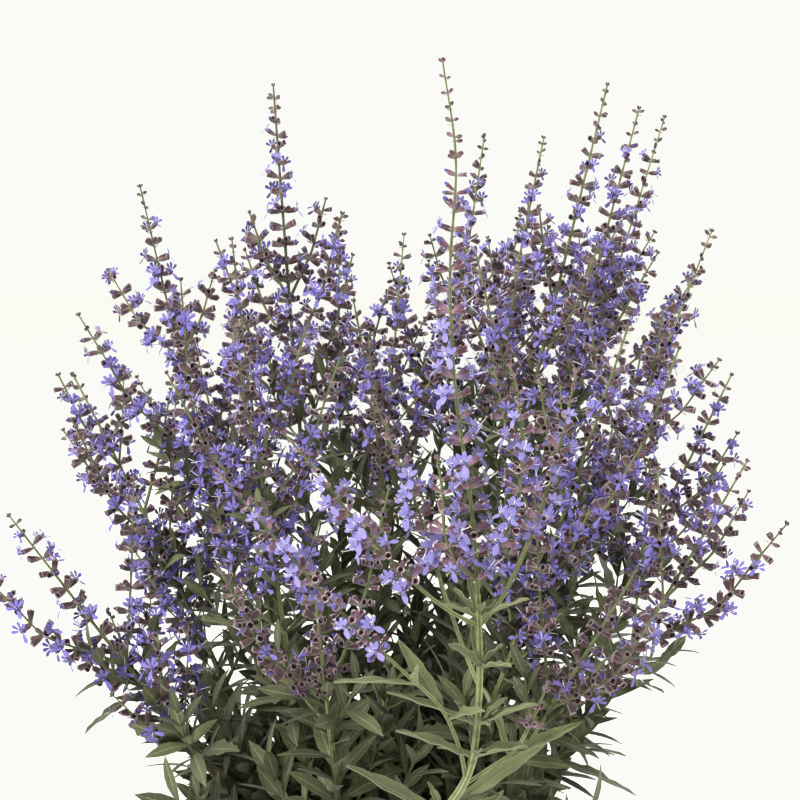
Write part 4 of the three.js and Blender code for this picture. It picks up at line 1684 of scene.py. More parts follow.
@dataclass(frozen=True)
class Foliage:
    """One background stem's leafy part: its stalk, its leaves and the small shoots beside those."""

    leaves: LeafSet
    stalks: Stalks
    room: Room
    plant: Plant
    draws: Draws
    tissue: Tissue
    between_from: float = 10.0
    between_until: float = 12.0
    between_pitch: float = 6.8
    small_share: Pair = (0.5, 0.85)
    small_shrinks: tuple[float, ...] = (1.0, 0.7, 0.45)
    small_lift: Pair = (25 * DEGREE, 60 * DEGREE)
    small_turn: float = 0.5
    small_droop: Pair = (0.0, 0.35)
    small_slimness: Pair = (0.7, 0.95)
    small_room: float = 0.3
    shoot_above: float = 1.5
    shoot_length: Pair = (20.0, 42.0)
    low_shoots: int = 2
    low_shoot_from: Pair = (3.0, 12.0)
    low_shoot_length: Pair = (45.0, 90.0)
    shoot_radius: Pair = (0.7, 0.4)
    shoot_lift: Pair = (28 * DEGREE, 62 * DEGREE)
    shoot_leaf: float = 22.0
    low_shoot_leaf: float = 30.0
    low_shoot_turn: float = 2.0
    shoot_turn: float = 0.5
    shoot_lean: Pair = (0.7, 1.3)
    shoot_rise: Pair = (0.2, 0.6)
    leaf_pitch: float = 7.5
    leaf_size: Pair = (0.7, 1.2)
    leaf_taper: Pair = (1.05, 0.7)
    leaf_width_share: Pair = (0.26, 0.34)
    leaf_droop: Pair = (0.0, 0.3)
    leaf_sway: float = 0.05
    leaf_twist: float = 0.35
    # The bush's leaves take the dark half of the tones: painted shade
    painted_light_tones: Pair = (0.0, 0.5)

    def grow(self) -> None:
        """Adds the whole leafy part to its piece."""
        plant, draws = self.plant, self.draws
        radii = (RULE.radius_low, RULE.head_radius)
        self.stalks.bend(self.tissue, plant.line, 0, plant.head_from, radii, plant.nodes, draws.next())
        for leaf in plant.leaves:
            self.add_blade(leaf, self.leaves.broad)
        for i, node in enumerate(plant.nodes):
            for half in (0, TURN / 2):
                length = draws.between(*self.shoot_length)
                self.add_shoot(node + self.shoot_above, i * TURN / 4 + half, length, self.shoot_leaf)
        for i in range(self.low_shoots):
            low = plant.soil_at + draws.between(*self.low_shoot_from)
            length = draws.between(*self.low_shoot_length)
            angle = i * TURN / 2 + draws.next() * self.low_shoot_turn
            self.add_shoot(low, angle, length, self.low_shoot_leaf)
        distance = plant.soil_at + self.between_from
        index = 0
        while distance < plant.head_from + self.between_until:
            share = (distance - plant.soil_at) / (plant.head_from - plant.soil_at)
            full = mix(HABIT.length_low, HABIT.length_high, share)
            for half in (0, TURN / 2):
                self.add_small_leaf(distance, index * TURN / 4 + TURN / 8 + half, full)
            distance += self.between_pitch
            index += 1

    def add_blade(self, leaf: Leaf, blade: Shape) -> None:
        """Adds a leaf, a little twisted and swayed."""
        leaf.stir(self.draws, self.leaf_sway, self.leaf_twist)
        self.tissue.add_leaf(leaf, blade, self.draws.between(*self.painted_light_tones))

    def add_shoot(self, distance: float, angle: float, length: float, leaf_length: float) -> None:
        """Adds a short leafy shoot to the stem.

        Args:
            distance: Where along the stem it leaves.
            angle: The angle about the stem at which it leaves.
            length: Its length.
            leaf_length: The length of its leaves.
        """
        draws = self.draws
        along, out, _ = self.plant.line.frame(distance, angle + draws.about(self.shoot_turn))
        start = self.plant.line.at(distance)
        early, late = self.shoot_rise
        away = unit(along + out * draws.between(*self.shoot_lean) + UP * early)
        middle = start + away * length / 2
        end = middle + unit(away + UP * late) * length / 2
        line = Line([start, middle, end], draws.next() * TURN)
        self.stalks.bend(self.tissue, line, 0, line.length, self.shoot_radius, (), draws.next(), rings=3)
        pairs = max(3, round(length / self.leaf_pitch))
        for index in range(pairs):
            share = (index + 1) / pairs
            at = line.length * share
            for half in (0, TURN / 2):
                along, out, _ = line.frame(at, index * TURN / 4 + half)
                ahead = tilted(out, along, mix(*self.shoot_lift, share))
                size = leaf_length * draws.between(*self.leaf_size) * mix(*self.leaf_taper, share)
                width = size * draws.between(*self.leaf_width_share)
                leaf = Leaf.on(line, at, ahead, size, width, draws.between(*self.leaf_droop))
                if all(self.room.clear_of_pot((*ball[:3], 0.5)) for ball in leaf.balls()):
                    self.add_blade(leaf, self.leaves.narrow)

    def add_small_leaf(self, distance: float, angle: float, full: float) -> None:
        """Adds a smaller leaf between the nodes where there is room for it.

        Args:
            distance: Where along the stem it stands.
            angle: The angle about the stem that it faces, give or take a little.
            full: The length of the large leaves there.
        """
        draws, plant = self.draws, self.plant
        for shrink in self.small_shrinks:
            length = full * draws.between(*self.small_share) * shrink
            lift = draws.between(*self.small_lift)
            facing = angle + draws.about(self.small_turn)
            leaf = plant.leaf(distance, facing, lift, length, draws.between(*self.small_droop))
            leaf.width *= draws.between(*self.small_slimness)
            tries = [(leaf, slimmed(leaf.balls(), self.small_room))]
            if self.room.first_clear(LEAVES, [plant.stem, plant.joint, plant.head], tries):
                self.add_blade(leaf, self.leaves.narrow)
                break


class Tree:
    """A material's nodes, wired by short calls."""

    def __init__(self, name: str) -> None:
        """Starts a material with its shader.

        Args:
            name: The material's name.
        """
        self.material = bpy.data.materials.new(name)
        self.material.use_nodes = True
        self.nodes = self.material.node_tree.nodes
        self.links = self.material.node_tree.links
        self.shader = self.nodes["Principled BSDF"]

    def put(self, socket: Socket, value: object) -> None:
        """Sets a socket to a value or a colour's code, or wires it to another socket.

        Args:
            socket: The socket.
            value: The value, the code or the other socket.
        """
        if isinstance(value, Socket):
            self.links.new(value, socket)
        else:
            socket.default_value = colour(value) if isinstance(value, str) else value

    def node(self, kind: str, inputs: dict[int | str, object], **settings: str) -> bpy.types.Node:
        """Adds a node.

        Args:
            kind: Its type, without the words that all types begin with.
            inputs: What its sockets are set or wired to.
            settings: What else is set on it.

        Returns:
            The node.
        """
        node = self.nodes.new(f"ShaderNode{kind}")
        for name, value in settings.items():
            setattr(node, name, value)
        for name, value in inputs.items():
            self.put(node.inputs[name], value)
        return node

    def wear(self, **values: object) -> Material:
        """Sets the shader's sockets and returns the material.

        Args:
            values: Each socket's value or source, by its name in small letters with underscores.

        Returns:
            The material.
        """
        sockets = {socket.name.lower().replace(" ", "_"): socket for socket in self.shader.inputs}
        for name, value in values.items():
            self.put(sockets[name], value)
        return self.material

    def form(self) -> Socket:
        """Returns a point's place on the shape as modelled."""
        return self.node("Attribute", {}, attribute_name="form").outputs["Vector"]

    def tone(self) -> Socket:
        """Returns the shade of each copy, from 0 to 1."""
        return self.node("Attribute", {}, attribute_name="tone").outputs["Fac"]

    def place(self) -> Socket:
        """Returns the place in the object."""
        return self.node("TexCoord", {}).outputs["Object"]

    def split(self, vector: Socket) -> tuple[Socket, Socket, Socket]:
        """Returns the three numbers of a vector."""
        return tuple(self.node("SeparateXYZ", {0: vector}).outputs)

    def noise(self, where: Socket, scale: float, detail: float = 3.0) -> Socket:
        """Returns a noise from 0 to 1 at a scale."""
        inputs = {"Vector": where, "Scale": scale, "Detail": detail}
        return self.node("TexNoise", inputs).outputs["Fac"]

    def sum(self, kind: str, first: object, second: object = 0.0, third: object = 0.0) -> Socket:
        """Returns the result of a Math node of a kind."""
        return self.node("Math", {0: first, 1: second, 2: third}, operation=kind).outputs[0]

    def times(self, first: object, second: object) -> Socket:
        """Returns the product of two values."""
        return self.sum("MULTIPLY", first, second)

    def between(
        self, value: Socket, low: float, high: float, clear: float = 0.0, full: float = 1.0
    ) -> Socket:
        """Returns clear below low, full above high, and a smooth step between them."""
        inputs = {"Value": value, "From Min": low, "From Max": high, "To Min": clear, "To Max": full}
        return self.node("MapRange", inputs, interpolation_type="SMOOTHSTEP").outputs[0]

    def blend(self, share: Socket, first: object, second: object) -> Socket:
        """Returns a mix of two colours."""
        return self.node("Mix", {"Factor": share, 6: first, 7: second}, data_type="RGBA").outputs[2]

    def bump(self, height: Socket, strength: float, distance: float) -> Socket:
        """Returns a normal that a height disturbs."""
        inputs = {"Strength": strength, "Distance": distance, "Height": height}
        return self.node("Bump", inputs).outputs[0]


def colour(code: str) -> tuple[float, float, float, float]:
    """Returns the linear colour of a screen colour such as 7d8a5c.

    Args:
        code: Two hexadecimal digits each for red, green and blue.

    Returns:
        Red, green, blue and full opacity.
    """
    parts = [int(code[i:i + 2], 16) / 255 for i in (0, 2, 4)]
    linear = [part / 12.92 if part <= 0.04045 else ((part + 0.055) / 1.055) ** 2.4 for part in parts]
    return (*linear, 1.0)


@dataclass(frozen=True)
class StalkFinish:
    """Pale green ridges, grooves painted darker as shade in them, and a woody foot."""

    ridge: str = "99a26c"
    shaded_groove: str = "5f6838"
    shade: str = "3f4028"
    wood: str = "4a3c2c"
    wood_until: float = 1.35

    def material(self) -> Material:
        """Makes the material.

        Returns:
            The material.
        """
        tree = Tree("stalk")
        form, place, tone = tree.form(), tree.place(), tree.tone()
        ridge, height, _ = tree.split(form)
        # The grooves are painted darker than the ridges: painted shade in the grooves
        green = tree.blend(tree.between(ridge, 0.1, 0.9), self.shaded_groove, self.ridge)
        streaks = tree.noise(form, 0.35)
        green = tree.blend(tree.between(streaks, 0.45, 0.75, 0, 0.55), green, self.shade)
        # The tone darkens the stalk towards the shade colour; the front stem's tone of 0 keeps it lightest,
        # as painted light
        green = tree.blend(tree.times(tone, 0.75), green, self.shade)
        woody = tree.between(tree.sum("ADD", height, tree.noise(place, 60)), 0.6, self.wood_until, 1, 0)
        skin = tree.blend(woody, green, self.wood)
        grain = tree.bump(tree.noise(place, 900), 0.25, 0.0003)
        sheen = {"sheen_weight": 0.15, "sheen_roughness": 0.5}
        return tree.wear(base_color=skin, roughness=0.62, normal=grain, **sheen)


@dataclass(frozen=True)
class LeafFinish:
    """Grey-green blades with a pale rib, side veins and a light edge, darker or lighter by their tone as
    painted shade and painted light.
    """

    light: str = "7a7f55"
    # The dark end of the blade's tone: painted shade, worn by the bush's leaves
    dark: str = "282c13"
    rib: str = "8f936c"
    edge: str = "7e845e"
    veins: float = 9.0

    def material(self) -> Material:
        """Makes the material.

        Returns:
            The material.
        """
        tree = Tree("leaf")
        place, tone = tree.place(), tree.tone()
        along, across, _ = tree.split(tree.form())
        aside = tree.sum("ABSOLUTE", across)
        patches = tree.between(tree.noise(place, 55), 0.35, 0.65)
        # The tone blends each blade from dark to light: the bush's leaves take the dark end as painted shade,
        # the front stem's leaves the light end as painted light; the patches vary at random
        share = tree.sum("ADD", tree.times(tone, 0.82), tree.times(patches, 0.18))
        blade = tree.blend(share, self.dark, self.light)
        slant = tree.sum("MULTIPLY_ADD", aside, -0.9, tree.times(along, self.veins))
        wave = tree.sum("ABSOLUTE", tree.sum("SUBTRACT", tree.sum("FRACT", slant), 0.5))
        veins = tree.between(wave, 0.0, 0.1, 1, 0)
        # The veins, margin and rib show more on leaves of a lighter tone, so they follow the painted light
        # too
        pale = tree.sum("MULTIPLY_ADD", tone, 0.55, 0.3)
        blade = tree.blend(tree.times(veins, tree.times(pale, 0.4)), blade, self.rib)
        margin = tree.between(aside, 0.86, 1.0)
        blade = tree.blend(tree.times(margin, pale), blade, self.edge)
        rib = tree.between(aside, 0.05, 0.16, 1, 0)
        blade = tree.blend(tree.times(rib, pale), blade, self.rib)
        relief = tree.sum("SUBTRACT", tree.noise(place, 500), tree.sum("ADD", veins, rib))
        normal = tree.bump(relief, 0.35, 0.0004)
        sheen = {"sheen_weight": 0.12, "sheen_roughness": 0.5}
        return tree.wear(base_color=blade, roughness=0.6, normal=normal, **sheen)


@dataclass(frozen=True)
class CalyxFinish:
    """Dusty mauve, pale and greenish at the foot, with ribs, a bloom of down, and painted shade in its
    throat.
    """

    name: str = "calyx"
    foot: str = "a39a80"
    body: str = "a27b92"
    dark: str = "552a3d"
    fresh: str = "82739f"
    # The throat's colour, almost black: painted shade in the calyx's mouth
    inside: str = "2a0f18"
    rim: str = "d6bec9"
    flecked: float = 0.2
    ribs: float = 10.0

    def material(self) -> Material:
        """Makes the material.

        Returns:
            The material.
        """
        tree = Tree(self.name)
        tone, place = tree.tone(), tree.place()
        x, y, z = tree.split(tree.form())
        mauve = tree.blend(tree.between(tone, 0.15, 0.85), self.dark, self.body)
        fresh = tree.between(tree.sum("FRACT", tree.times(tone, 7.3)), 0.55, 1.0, 0, 0.6)
        mauve = tree.blend(fresh, mauve, self.fresh)
        skin = tree.blend(tree.between(z, 0.2, 2.2), self.foot, mauve)
        flecks = tree.between(tree.noise(place, 1500), 0.5, 0.66, 0, self.flecked)
        skin = tree.blend(flecks, skin, self.rim)
        skin = tree.blend(tree.between(z, 2.0, 4.6, 0, 0.7), skin, self.dark)
        skin = tree.blend(tree.between(y, -0.3, 1.1, 0, 0.45), skin, self.dark)
        ribs = tree.sum("SINE", tree.times(tree.sum("ARCTAN2", y, x), self.ribs))
        skin = tree.blend(tree.between(ribs, 0.0, 1.0, 0, 0.35), skin, self.dark)
        # The throat near the axis is painted almost black: painted shade inside the calyx's mouth
        from_axis = tree.sum("SQRT", tree.sum("ADD", tree.times(x, x), tree.times(y, y)))
        deep = tree.times(tree.between(from_axis, 0.45, 0.8, 1, 0), tree.between(z, 2.9, 3.1))
        skin = tree.blend(tree.between(z, 5.2, 5.8, 0, 0.9), skin, self.rim)
        skin = tree.blend(deep, skin, self.inside)
        relief = tree.sum("ADD", ribs, tree.noise(place, 1800))
        normal = tree.bump(relief, 0.4, 0.00025)
        return tree.wear(
            base_color=skin, roughness=0.75, normal=normal, sheen_weight=1.0, sheen_roughness=0.3,
            sheen_tint="f2e8ee",
        )


@dataclass(frozen=True)
class DownFinish:
    """The pale, faintly pink hairs on the calyxes."""

    hair: str = "d8cbd2"
    warm: str = "c9b29f"

    def material(self) -> Material:
        """Makes the material.

        Returns:
            The material.
        """
        tree = Tree("down")
        hair = tree.blend(tree.noise(tree.place(), 120), self.hair, self.warm)
        return tree.wear(base_color=hair, roughness=0.6)


@dataclass(frozen=True)
class PetalFinish:
    """Lavender blue, deeper in the closed flowers and along the veins, paler at the throat."""

    name: str = "petal"
    light: str = "8d84c3"
    deep: str = "4a3f8c"
    vein: str = "6557a8"
    throat: str = "cdc9e4"

    def material(self) -> Material:
        """Makes the material.

        Returns:
            The material.
        """
        tree = Tree(self.name)
        tone, place = tree.tone(), tree.place()
        x, y, z = tree.split(tree.form())
        petal = tree.blend(tree.between(tone, 0.0, 0.8), self.deep, self.light)
        lines = tree.sum("COSINE", tree.times(x, 11.0))
        petal = tree.blend(tree.between(lines, 0.2, 1.0, 0, 0.3), petal, self.vein)
        patches = tree.between(tree.noise(place, 260), 0.4, 0.7, 0, 0.35)
        petal = tree.blend(patches, petal, self.vein)
        is_open = tree.between(tone, 0.4, 0.44)
        foot = tree.times(tree.between(y, 0.1, 0.9, 0.75, 0), is_open)
        on_lobe = tree.between(z, 1.0, 1.2, 1, 0)
        petal = tree.blend(tree.times(foot, on_lobe), petal, self.throat)
        normal = tree.bump(tree.noise(place, 1200), 0.2, 0.0002)
        sheen = {"sheen_weight": 0.25, "sheen_roughness": 0.4}
        return tree.wear(base_color=petal, roughness=0.55, normal=normal, **sheen)


@dataclass(frozen=True)
class StyleFinish:
    """The near white thread of the style, creamy at its end."""

    thread: str = "e6e2ee"
    end: str = "ddd5b4"

    def material(self) -> Material:
        """Makes the material.

        Returns:
            The material.
        """
        tree = Tree("style")
        _, _, z = tree.split(tree.form())
        thread = tree.blend(tree.between(z, 10.6, 11.6), self.thread, self.end)
        return tree.wear(base_color=thread, roughness=0.5)


FINISHES = {
    Finish.STALK: StalkFinish(),
    Finish.LEAF: LeafFinish(),
    Finish.CALYX: CalyxFinish(),
    Finish.DOWN: DownFinish(),
    Finish.PETAL: PetalFinish(),
    Finish.STYLE: StyleFinish(),
}

# The bush's flowers are painted deeper and duller than the front stem's: painted shade, as the bush stands in
# shade behind it
SHADED_FINISHES = {
    Finish.CALYX: CalyxFinish(
        name="calyx_dusky", foot="8f8a70", body="866c70", dark="472c30", fresh="6a5f7b", inside="2a1119",
        rim="a48e99",
    ),
    Finish.PETAL: PetalFinish(
        name="petal_dusky", light="796dbd", deep="392d7a", vein="514498", throat="a39cc8"
    ),
}


def painted(finishes: dict[Finish, Dressing]) -> Palette:
    """Makes the material of each finish."""
    return {finish: dressing.material() for finish, dressing in finishes.items()}


@dataclass(frozen=True)
class PlasticFinish:
    """Black nursery plastic: fine grain, faint scuffs, and dust that has dried on it."""

    body: str = "131416"
    scuff: str = "2c2d2e"
    dust: str = "544c40"

    def material(self) -> Material:
        """Makes the material.

        Returns:
            The material.
        """
        tree = Tree("pot_plastic")
        place = tree.place()
        scuffs = tree.between(tree.noise(place, 38, 8), 0.55, 0.78, 0, 0.5)
        skin = tree.blend(scuffs, self.body, self.scuff)
        _, _, height = tree.split(place)
        low = tree.between(height, 0.0, 0.05, 0.5, 0.1)
        dusty = tree.times(low, tree.between(tree.noise(place, 16, 6), 0.45, 0.7))
        skin = tree.blend(dusty, skin, self.dust)
        rough = tree.between(tree.noise(place, 60, 5), 0.3, 0.7, 0.34, 0.55)
        normal = tree.bump(tree.noise(place, 1400), 0.25, 0.0002)
        return tree.wear(base_color=skin, roughness=rough, normal=normal)


@dataclass(frozen=True)
class SoilFinish:
    """Dark peat, mottled, with pale grit."""

    dark: str = "1e1712"
    brown: str = "46362a"
    pale: str = "8c7c68"

    def material(self, name: str) -> Material:
        """Makes the material under a name.

        Args:
            name: Its name.

        Returns:
            The material.
        """
        tree = Tree(name)
        place = tree.place()
        mottle = tree.between(tree.noise(place, 170, 8), 0.35, 0.65)
        peat = tree.blend(mottle, self.dark, self.brown)
        grit = tree.between(tree.noise(place, 640, 2), 0.66, 0.7, 0, 0.8)
        peat = tree.blend(grit, peat, self.pale)
        normal = tree.bump(tree.noise(place, 420, 10), 0.9, 0.002)
        return tree.wear(base_color=peat, roughness=0.95, normal=normal)


@dataclass
class Pot:
    """The round nursery pot, tapered, with a rolled lip and drain slots."""

    height: float = POT_HEIGHT
    rim_radius: float = RIM_RADIUS
    lip_height: float = 14.0
    lip_out: float = LIP_OUT
    foot_radius: float = 62.0
    wall: float = POT_WALL
    floor: float = 2.4
    sides: int = 128
    slots: int = 6
    slot_width: float = 13.0
    slot_height: float = 7.0
    slot_depth: float = 12.0

    @property
    def top(self) -> float:
        """Returns the height of the wall up to the lip."""
        return self.height - self.lip_height

    @property
    def neck(self) -> float:
        """Returns the wall's radius just under the lip."""
        return self.rim_radius - self.lip_out

    def outside(self, height: float) -> float:
        """Returns the radius of the wall at a height under the lip."""
        return mix(self.foot_radius, self.neck, height / self.top)

    def inside(self, height: float) -> float:
        """Returns the radius inside the wall at a height."""
        return self.outside(min(height, self.top)) - self.wall

    def shell(self) -> Piece:
        """Draws the wall, the lip and the inside out of the pot's foot.

        Returns:
            The pot before its slots are cut, in millimetres.
        """
        foot, neck, rim, top = self.foot_radius, self.neck, self.rim_radius, self.top
        base = [(0.0, foot - 2.0), (0.5, foot - 0.6), (2.0, foot)]
        bead = [(9.0, 0.0), (10.0, 0.5), (12.0, 0.5), (13.0, 0.0)]
        wall = [(height, self.outside(height) + out) for height, out in [*bead, (top - 16, 0.0)]]
        under_lip = [(top - 1.2, neck - 0.1), (top - 0.4, neck + 0.3), (top, neck + 1.2)]
        lip = [
            (top + 0.1, rim - 0.7),
            (top + 0.7, rim),
            (self.height - 2.0, rim),
            (self.height - 0.8, rim - 0.3),
            (self.height - 0.2, rim - 0.9),
            (self.height, rim - 1.8),
        ]
        inside = [(height, self.inside(height)) for height in (self.height - 0.6, top, self.floor + 3)]
        mouth = (self.height, self.inside(self.height) + 0.6)
        floor = (self.floor, self.inside(self.floor) - 3)
        return Bench.drawn(self.sides, [*base, *wall, *under_lip, *lip, mouth, *inside, floor]).done()

    def cutter(self) -> Piece:
        """Makes the blocks that cut the drain slots.

        Returns:
            The blocks, joined.
        """
        blocks = []
        for i in range(self.slots):
            angle = (i + 0.5) / self.slots * TURN
            bpy.ops.mesh.primitive_cube_add(
                size=1,
                location=(self.foot_radius * math.cos(angle), self.foot_radius * math.sin(angle), 0),
                rotation=(0, 0, angle),
                scale=(self.slot_depth, self.slot_width, self.slot_height * 2),
            )
            blocks.append(bpy.context.object)
        for block in blocks:
            block.select_set(True)
        bpy.ops.object.join()
        bpy.ops.object.transform_apply()
        return bpy.context.object

    def build(self) -> Piece:
        """Makes the pot.

        Returns:
            The piece that replaces the pot's node.
        """
        piece = self.shell()
        bpy.ops.object.select_all(action="DESELECT")
        cutter = self.cutter()
        take_up(piece)
        apply_modifier(piece, "BOOLEAN", object=cutter, operation="DIFFERENCE")
        apply_modifier(piece, "BEVEL", width=0.4, segments=2, angle_limit=60 * DEGREE)
        bpy.data.objects.remove(cutter)
        piece.scale = (MM, MM, MM)
        bpy.ops.object.transform_apply()
        piece.name = piece.data.name = "pot_shell"
        piece.data.materials.append(PlasticFinish().material())
        smooth(piece, 35 * DEGREE)
        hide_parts("pot")
        return piece


@dataclass
class Soil:
    """The potting soil: a plug with a crumbly top, and loose crumbs on it."""

    pot: Pot
    gap: float = 0.3
    lump: float = SOIL_LUMP
    edge_drop: float = 3.0
    edge_from: float = 62.0
    edge_width: float = 13.0
    sides: int = 120
    rings: int = 34
    crumbs: int = 1300
    strewn_radius: float = 74.0

    def lumps(self, x: Array, y: Array) -> Array:
        """Shapes the top of the soil, which drops at the pot's wall.

        Args:
            x: Where the places are from left to right.
            y: Where they are from front to back.

        Returns:
            The soil's height at each of them, from its level.
        """
        radius = np.hypot(x, y)
        angle = np.arctan2(y, x)
        swell = self.lump * np.sin(radius * 0.19 + 2 * angle) * np.cos(radius * 0.11 - 3 * angle)
        fine = 0.5 * np.sin(x * 0.9 + 2 * np.sin(y * 0.7)) * np.sin(y * 1.1 + 2 * np.sin(x * 0.8))
        edge = np.clip((radius - self.edge_from) / self.edge_width, 0, 1)
        return (swell + fine) * (1 - edge) - self.edge_drop * edge * edge

    def plug(self) -> Piece:
        """Models the plug as a drawn-out disc whose top is cut into a fine grid of rings.

        Returns:
            The plug, in metres.
        """
        level = SOIL_LEVEL - self.edge_drop
        bottom = self.pot.floor + self.gap + 0.4
        outer = self.pot.inside(level) - self.gap
        rings = [(height, self.pot.inside(height) - self.gap) for height in (bottom, bottom + 4)]
        rings[0] = (bottom, rings[0][1] - 3.2)
        rings += [(level + 0.001 * i, outer * (1 - i / self.rings)) for i in range(self.rings)]
        bench = Bench.drawn(self.sides, rings)
        bpy.ops.mesh.poke()
        piece = bench.done()
        points = places_of(piece.data)
        top = points[:, 2] > level - 0.01
        points[top, 2] = SOIL_LEVEL + self.lumps(points[top, 0], points[top, 1])
        piece.data.vertices.foreach_set("co", (points * MM).ravel())
        piece.data.update()
        return piece

    def crumb_shapes(self) -> list[Shape]:
        """Models three crumbs: round, long and flat.

        Returns:
            The crumbs.
        """
        draws = Draws(77)
        shapes = []
        for stretch in ((1.0, 1.0, 0.8), (1.9, 0.7, 0.6), (1.2, 1.3, 0.45)):
            bench = Bench(bpy.ops.mesh.primitive_ico_sphere_add, subdivisions=1, radius=1)
            bench.scale(*stretch)
            shape = bench.shape()
            shape.points *= np.array([[draws.between(0.75, 1.2)] * 3 for _ in shape.points])
            shapes.append(shape)
        return shapes

    def loose(self, wear: Material) -> Piece:
        """Strews crumbs over the soil.

        Args:
            wear: The crumbs' material.

        Returns:
            The crumbs, as one piece.
        """
        shapes = self.crumb_shapes()
        draws = Draws(31)
        tissue = Tissue()
        for i in range(self.crumbs):
            radius = self.strewn_radius * math.sqrt(draws.next())
            angle = draws.next() * TURN
            x, y = radius * math.cos(angle), radius * math.sin(angle)
            height = float(self.lumps(np.array(x), np.array(y)))
            size = draws.between(0.5, 1.0) if i % 9 else draws.between(1.1, 2.2)
            spin = turned("Z", draws.next() * TURN)[:, :3] @ turned("X", draws.next() * TURN)[:, :3]
            matrix = placing(*spin.T, np.array([x, y, height + size * 0.3]), size)
            tissue.place(shapes[i % 3], matrix, draws.next(), Finish.STALK)
        return tissue.piece("soil_crumbs", {Finish.STALK: wear})

    def build(self) -> list[Piece]:
        """Makes the soil.

        Returns:
            The plug and the crumbs, which replace the soil's node.
        """
        finish = SoilFinish()
        plug = self.plug()
        plug.name = plug.data.name = "soil_plug"
        plug.data.materials.append(finish.material("peat"))
        smooth(plug, 60 * DEGREE)
        crumbs = self.loose(finish.material("crumbs"))
        for piece in (plug, crumbs):
            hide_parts("soil")
        return [plug, crumbs]


@dataclass(frozen=True)
class Bush:
    """The background stems, each as a leafy piece and a flowering one."""

    layout: Layout
    leaves: LeafSet
    style: SpikeStyle
    palette: Palette
    axis_radii: Pair = (RULE.head_radius, RULE.tip_radius)
    side_radii: Pair = (RULE.branch_radius * 0.65, RULE.tip_radius)
    low_radii: Pair = (RULE.branch_radius * 0.5, RULE.tip_radius)
    low_pairs: int = 3
    low_first: float = 6.0
    low_pitch: float = 15.0
    low_bare: float = 10.0
    low_length: Pair = (40.0, 58.0)
    low_shrinks: tuple[float, ...] = (1.0, 0.8, 0.65)
    low_turn: float = 0.3
    low_room: float = 0.35
    low_open_share: float = 0.55

    def build(self) -> list[Piece]:
        """Makes every background stem.

        Returns:
            The pieces.
        """
        plants = self.layout.plants
        heads = [self.head(plant, Draws(7001 + 53 * i)) for i, plant in enumerate(plants)]
        return heads + [self.foliage(plant, Draws(9001 + 59 * i)) for i, plant in enumerate(plants)]

    def foliage(self, plant: Plant, draws: Draws) -> Piece:
        """Makes one stem's leafy part.

        Args:
            plant: The stem.
            draws: The draws for its looks.

        Returns:
            The piece.
        """
        tissue = Tissue()
        Foliage(self.leaves, self.style.stalks, self.layout.room, plant, draws, tissue).grow()
        piece = tissue.piece(f"{plant.name}_foliage", self.palette)
        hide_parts(plant.stem)
        return piece

    def head(self, plant: Plant, draws: Draws) -> Piece:
        """Makes one stem's flowering head with its side spikes.

        Args:
            plant: The stem.
            draws: The draws for its looks.

        Returns:
            The piece.
        """
        tissue = Tissue()
        style = replace(self.style, open_share=SPENT_STEMS.get(plant.name, self.style.open_share))
        Spike(style, tissue, draws, plant.line, plant.head_from, RULE.side_bare, self.axis_radii).grow()
        for side in plant.sides:
            Spike(style, tissue, draws, side, 0, RULE.side_bare, self.side_radii).grow()
        if plant.name in LOW_FLOWERING:
            self.add_low_spikes(tissue, plant, draws)
        piece = tissue.piece(f"{plant.name}_bloom", self.palette)
        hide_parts(plant.head)
        return piece

    def add_low_spikes(self, tissue: Tissue, plant: Plant, draws: Draws) -> None:
        """Adds the short spikes that rise from among the upper leaves of a low stem.

        Args:
            tissue: Where they go.
            plant: The stem.
            draws: The draws for its looks.
        """
        owners = [plant.stem, plant.joint, plant.head, LEAVES]
        style = replace(self.style, open_share=self.low_open_share)
        for index in range(2 * self.low_pairs):
            pair, half = divmod(index, 2)
            distance = plant.head_from - self.low_first - self.low_pitch * pair
            full = draws.between(*self.low_length)
            angle = pair * TURN / 4 + half * TURN / 2 + draws.about(self.low_turn)
            tries = (side_line(plant.line, distance, angle, full * shrink) for shrink in self.low_shrinks)
            placed = (
                (line, slimmed(spike_balls(line, RULE.side_bare, line.length), self.low_room))
                for line in tries
            )
            line = self.layout.room.first_clear(plant.head, owners, placed)
            if line:
                Spike(style, tissue, draws, line, 0, self.low_bare, self.low_radii).grow()


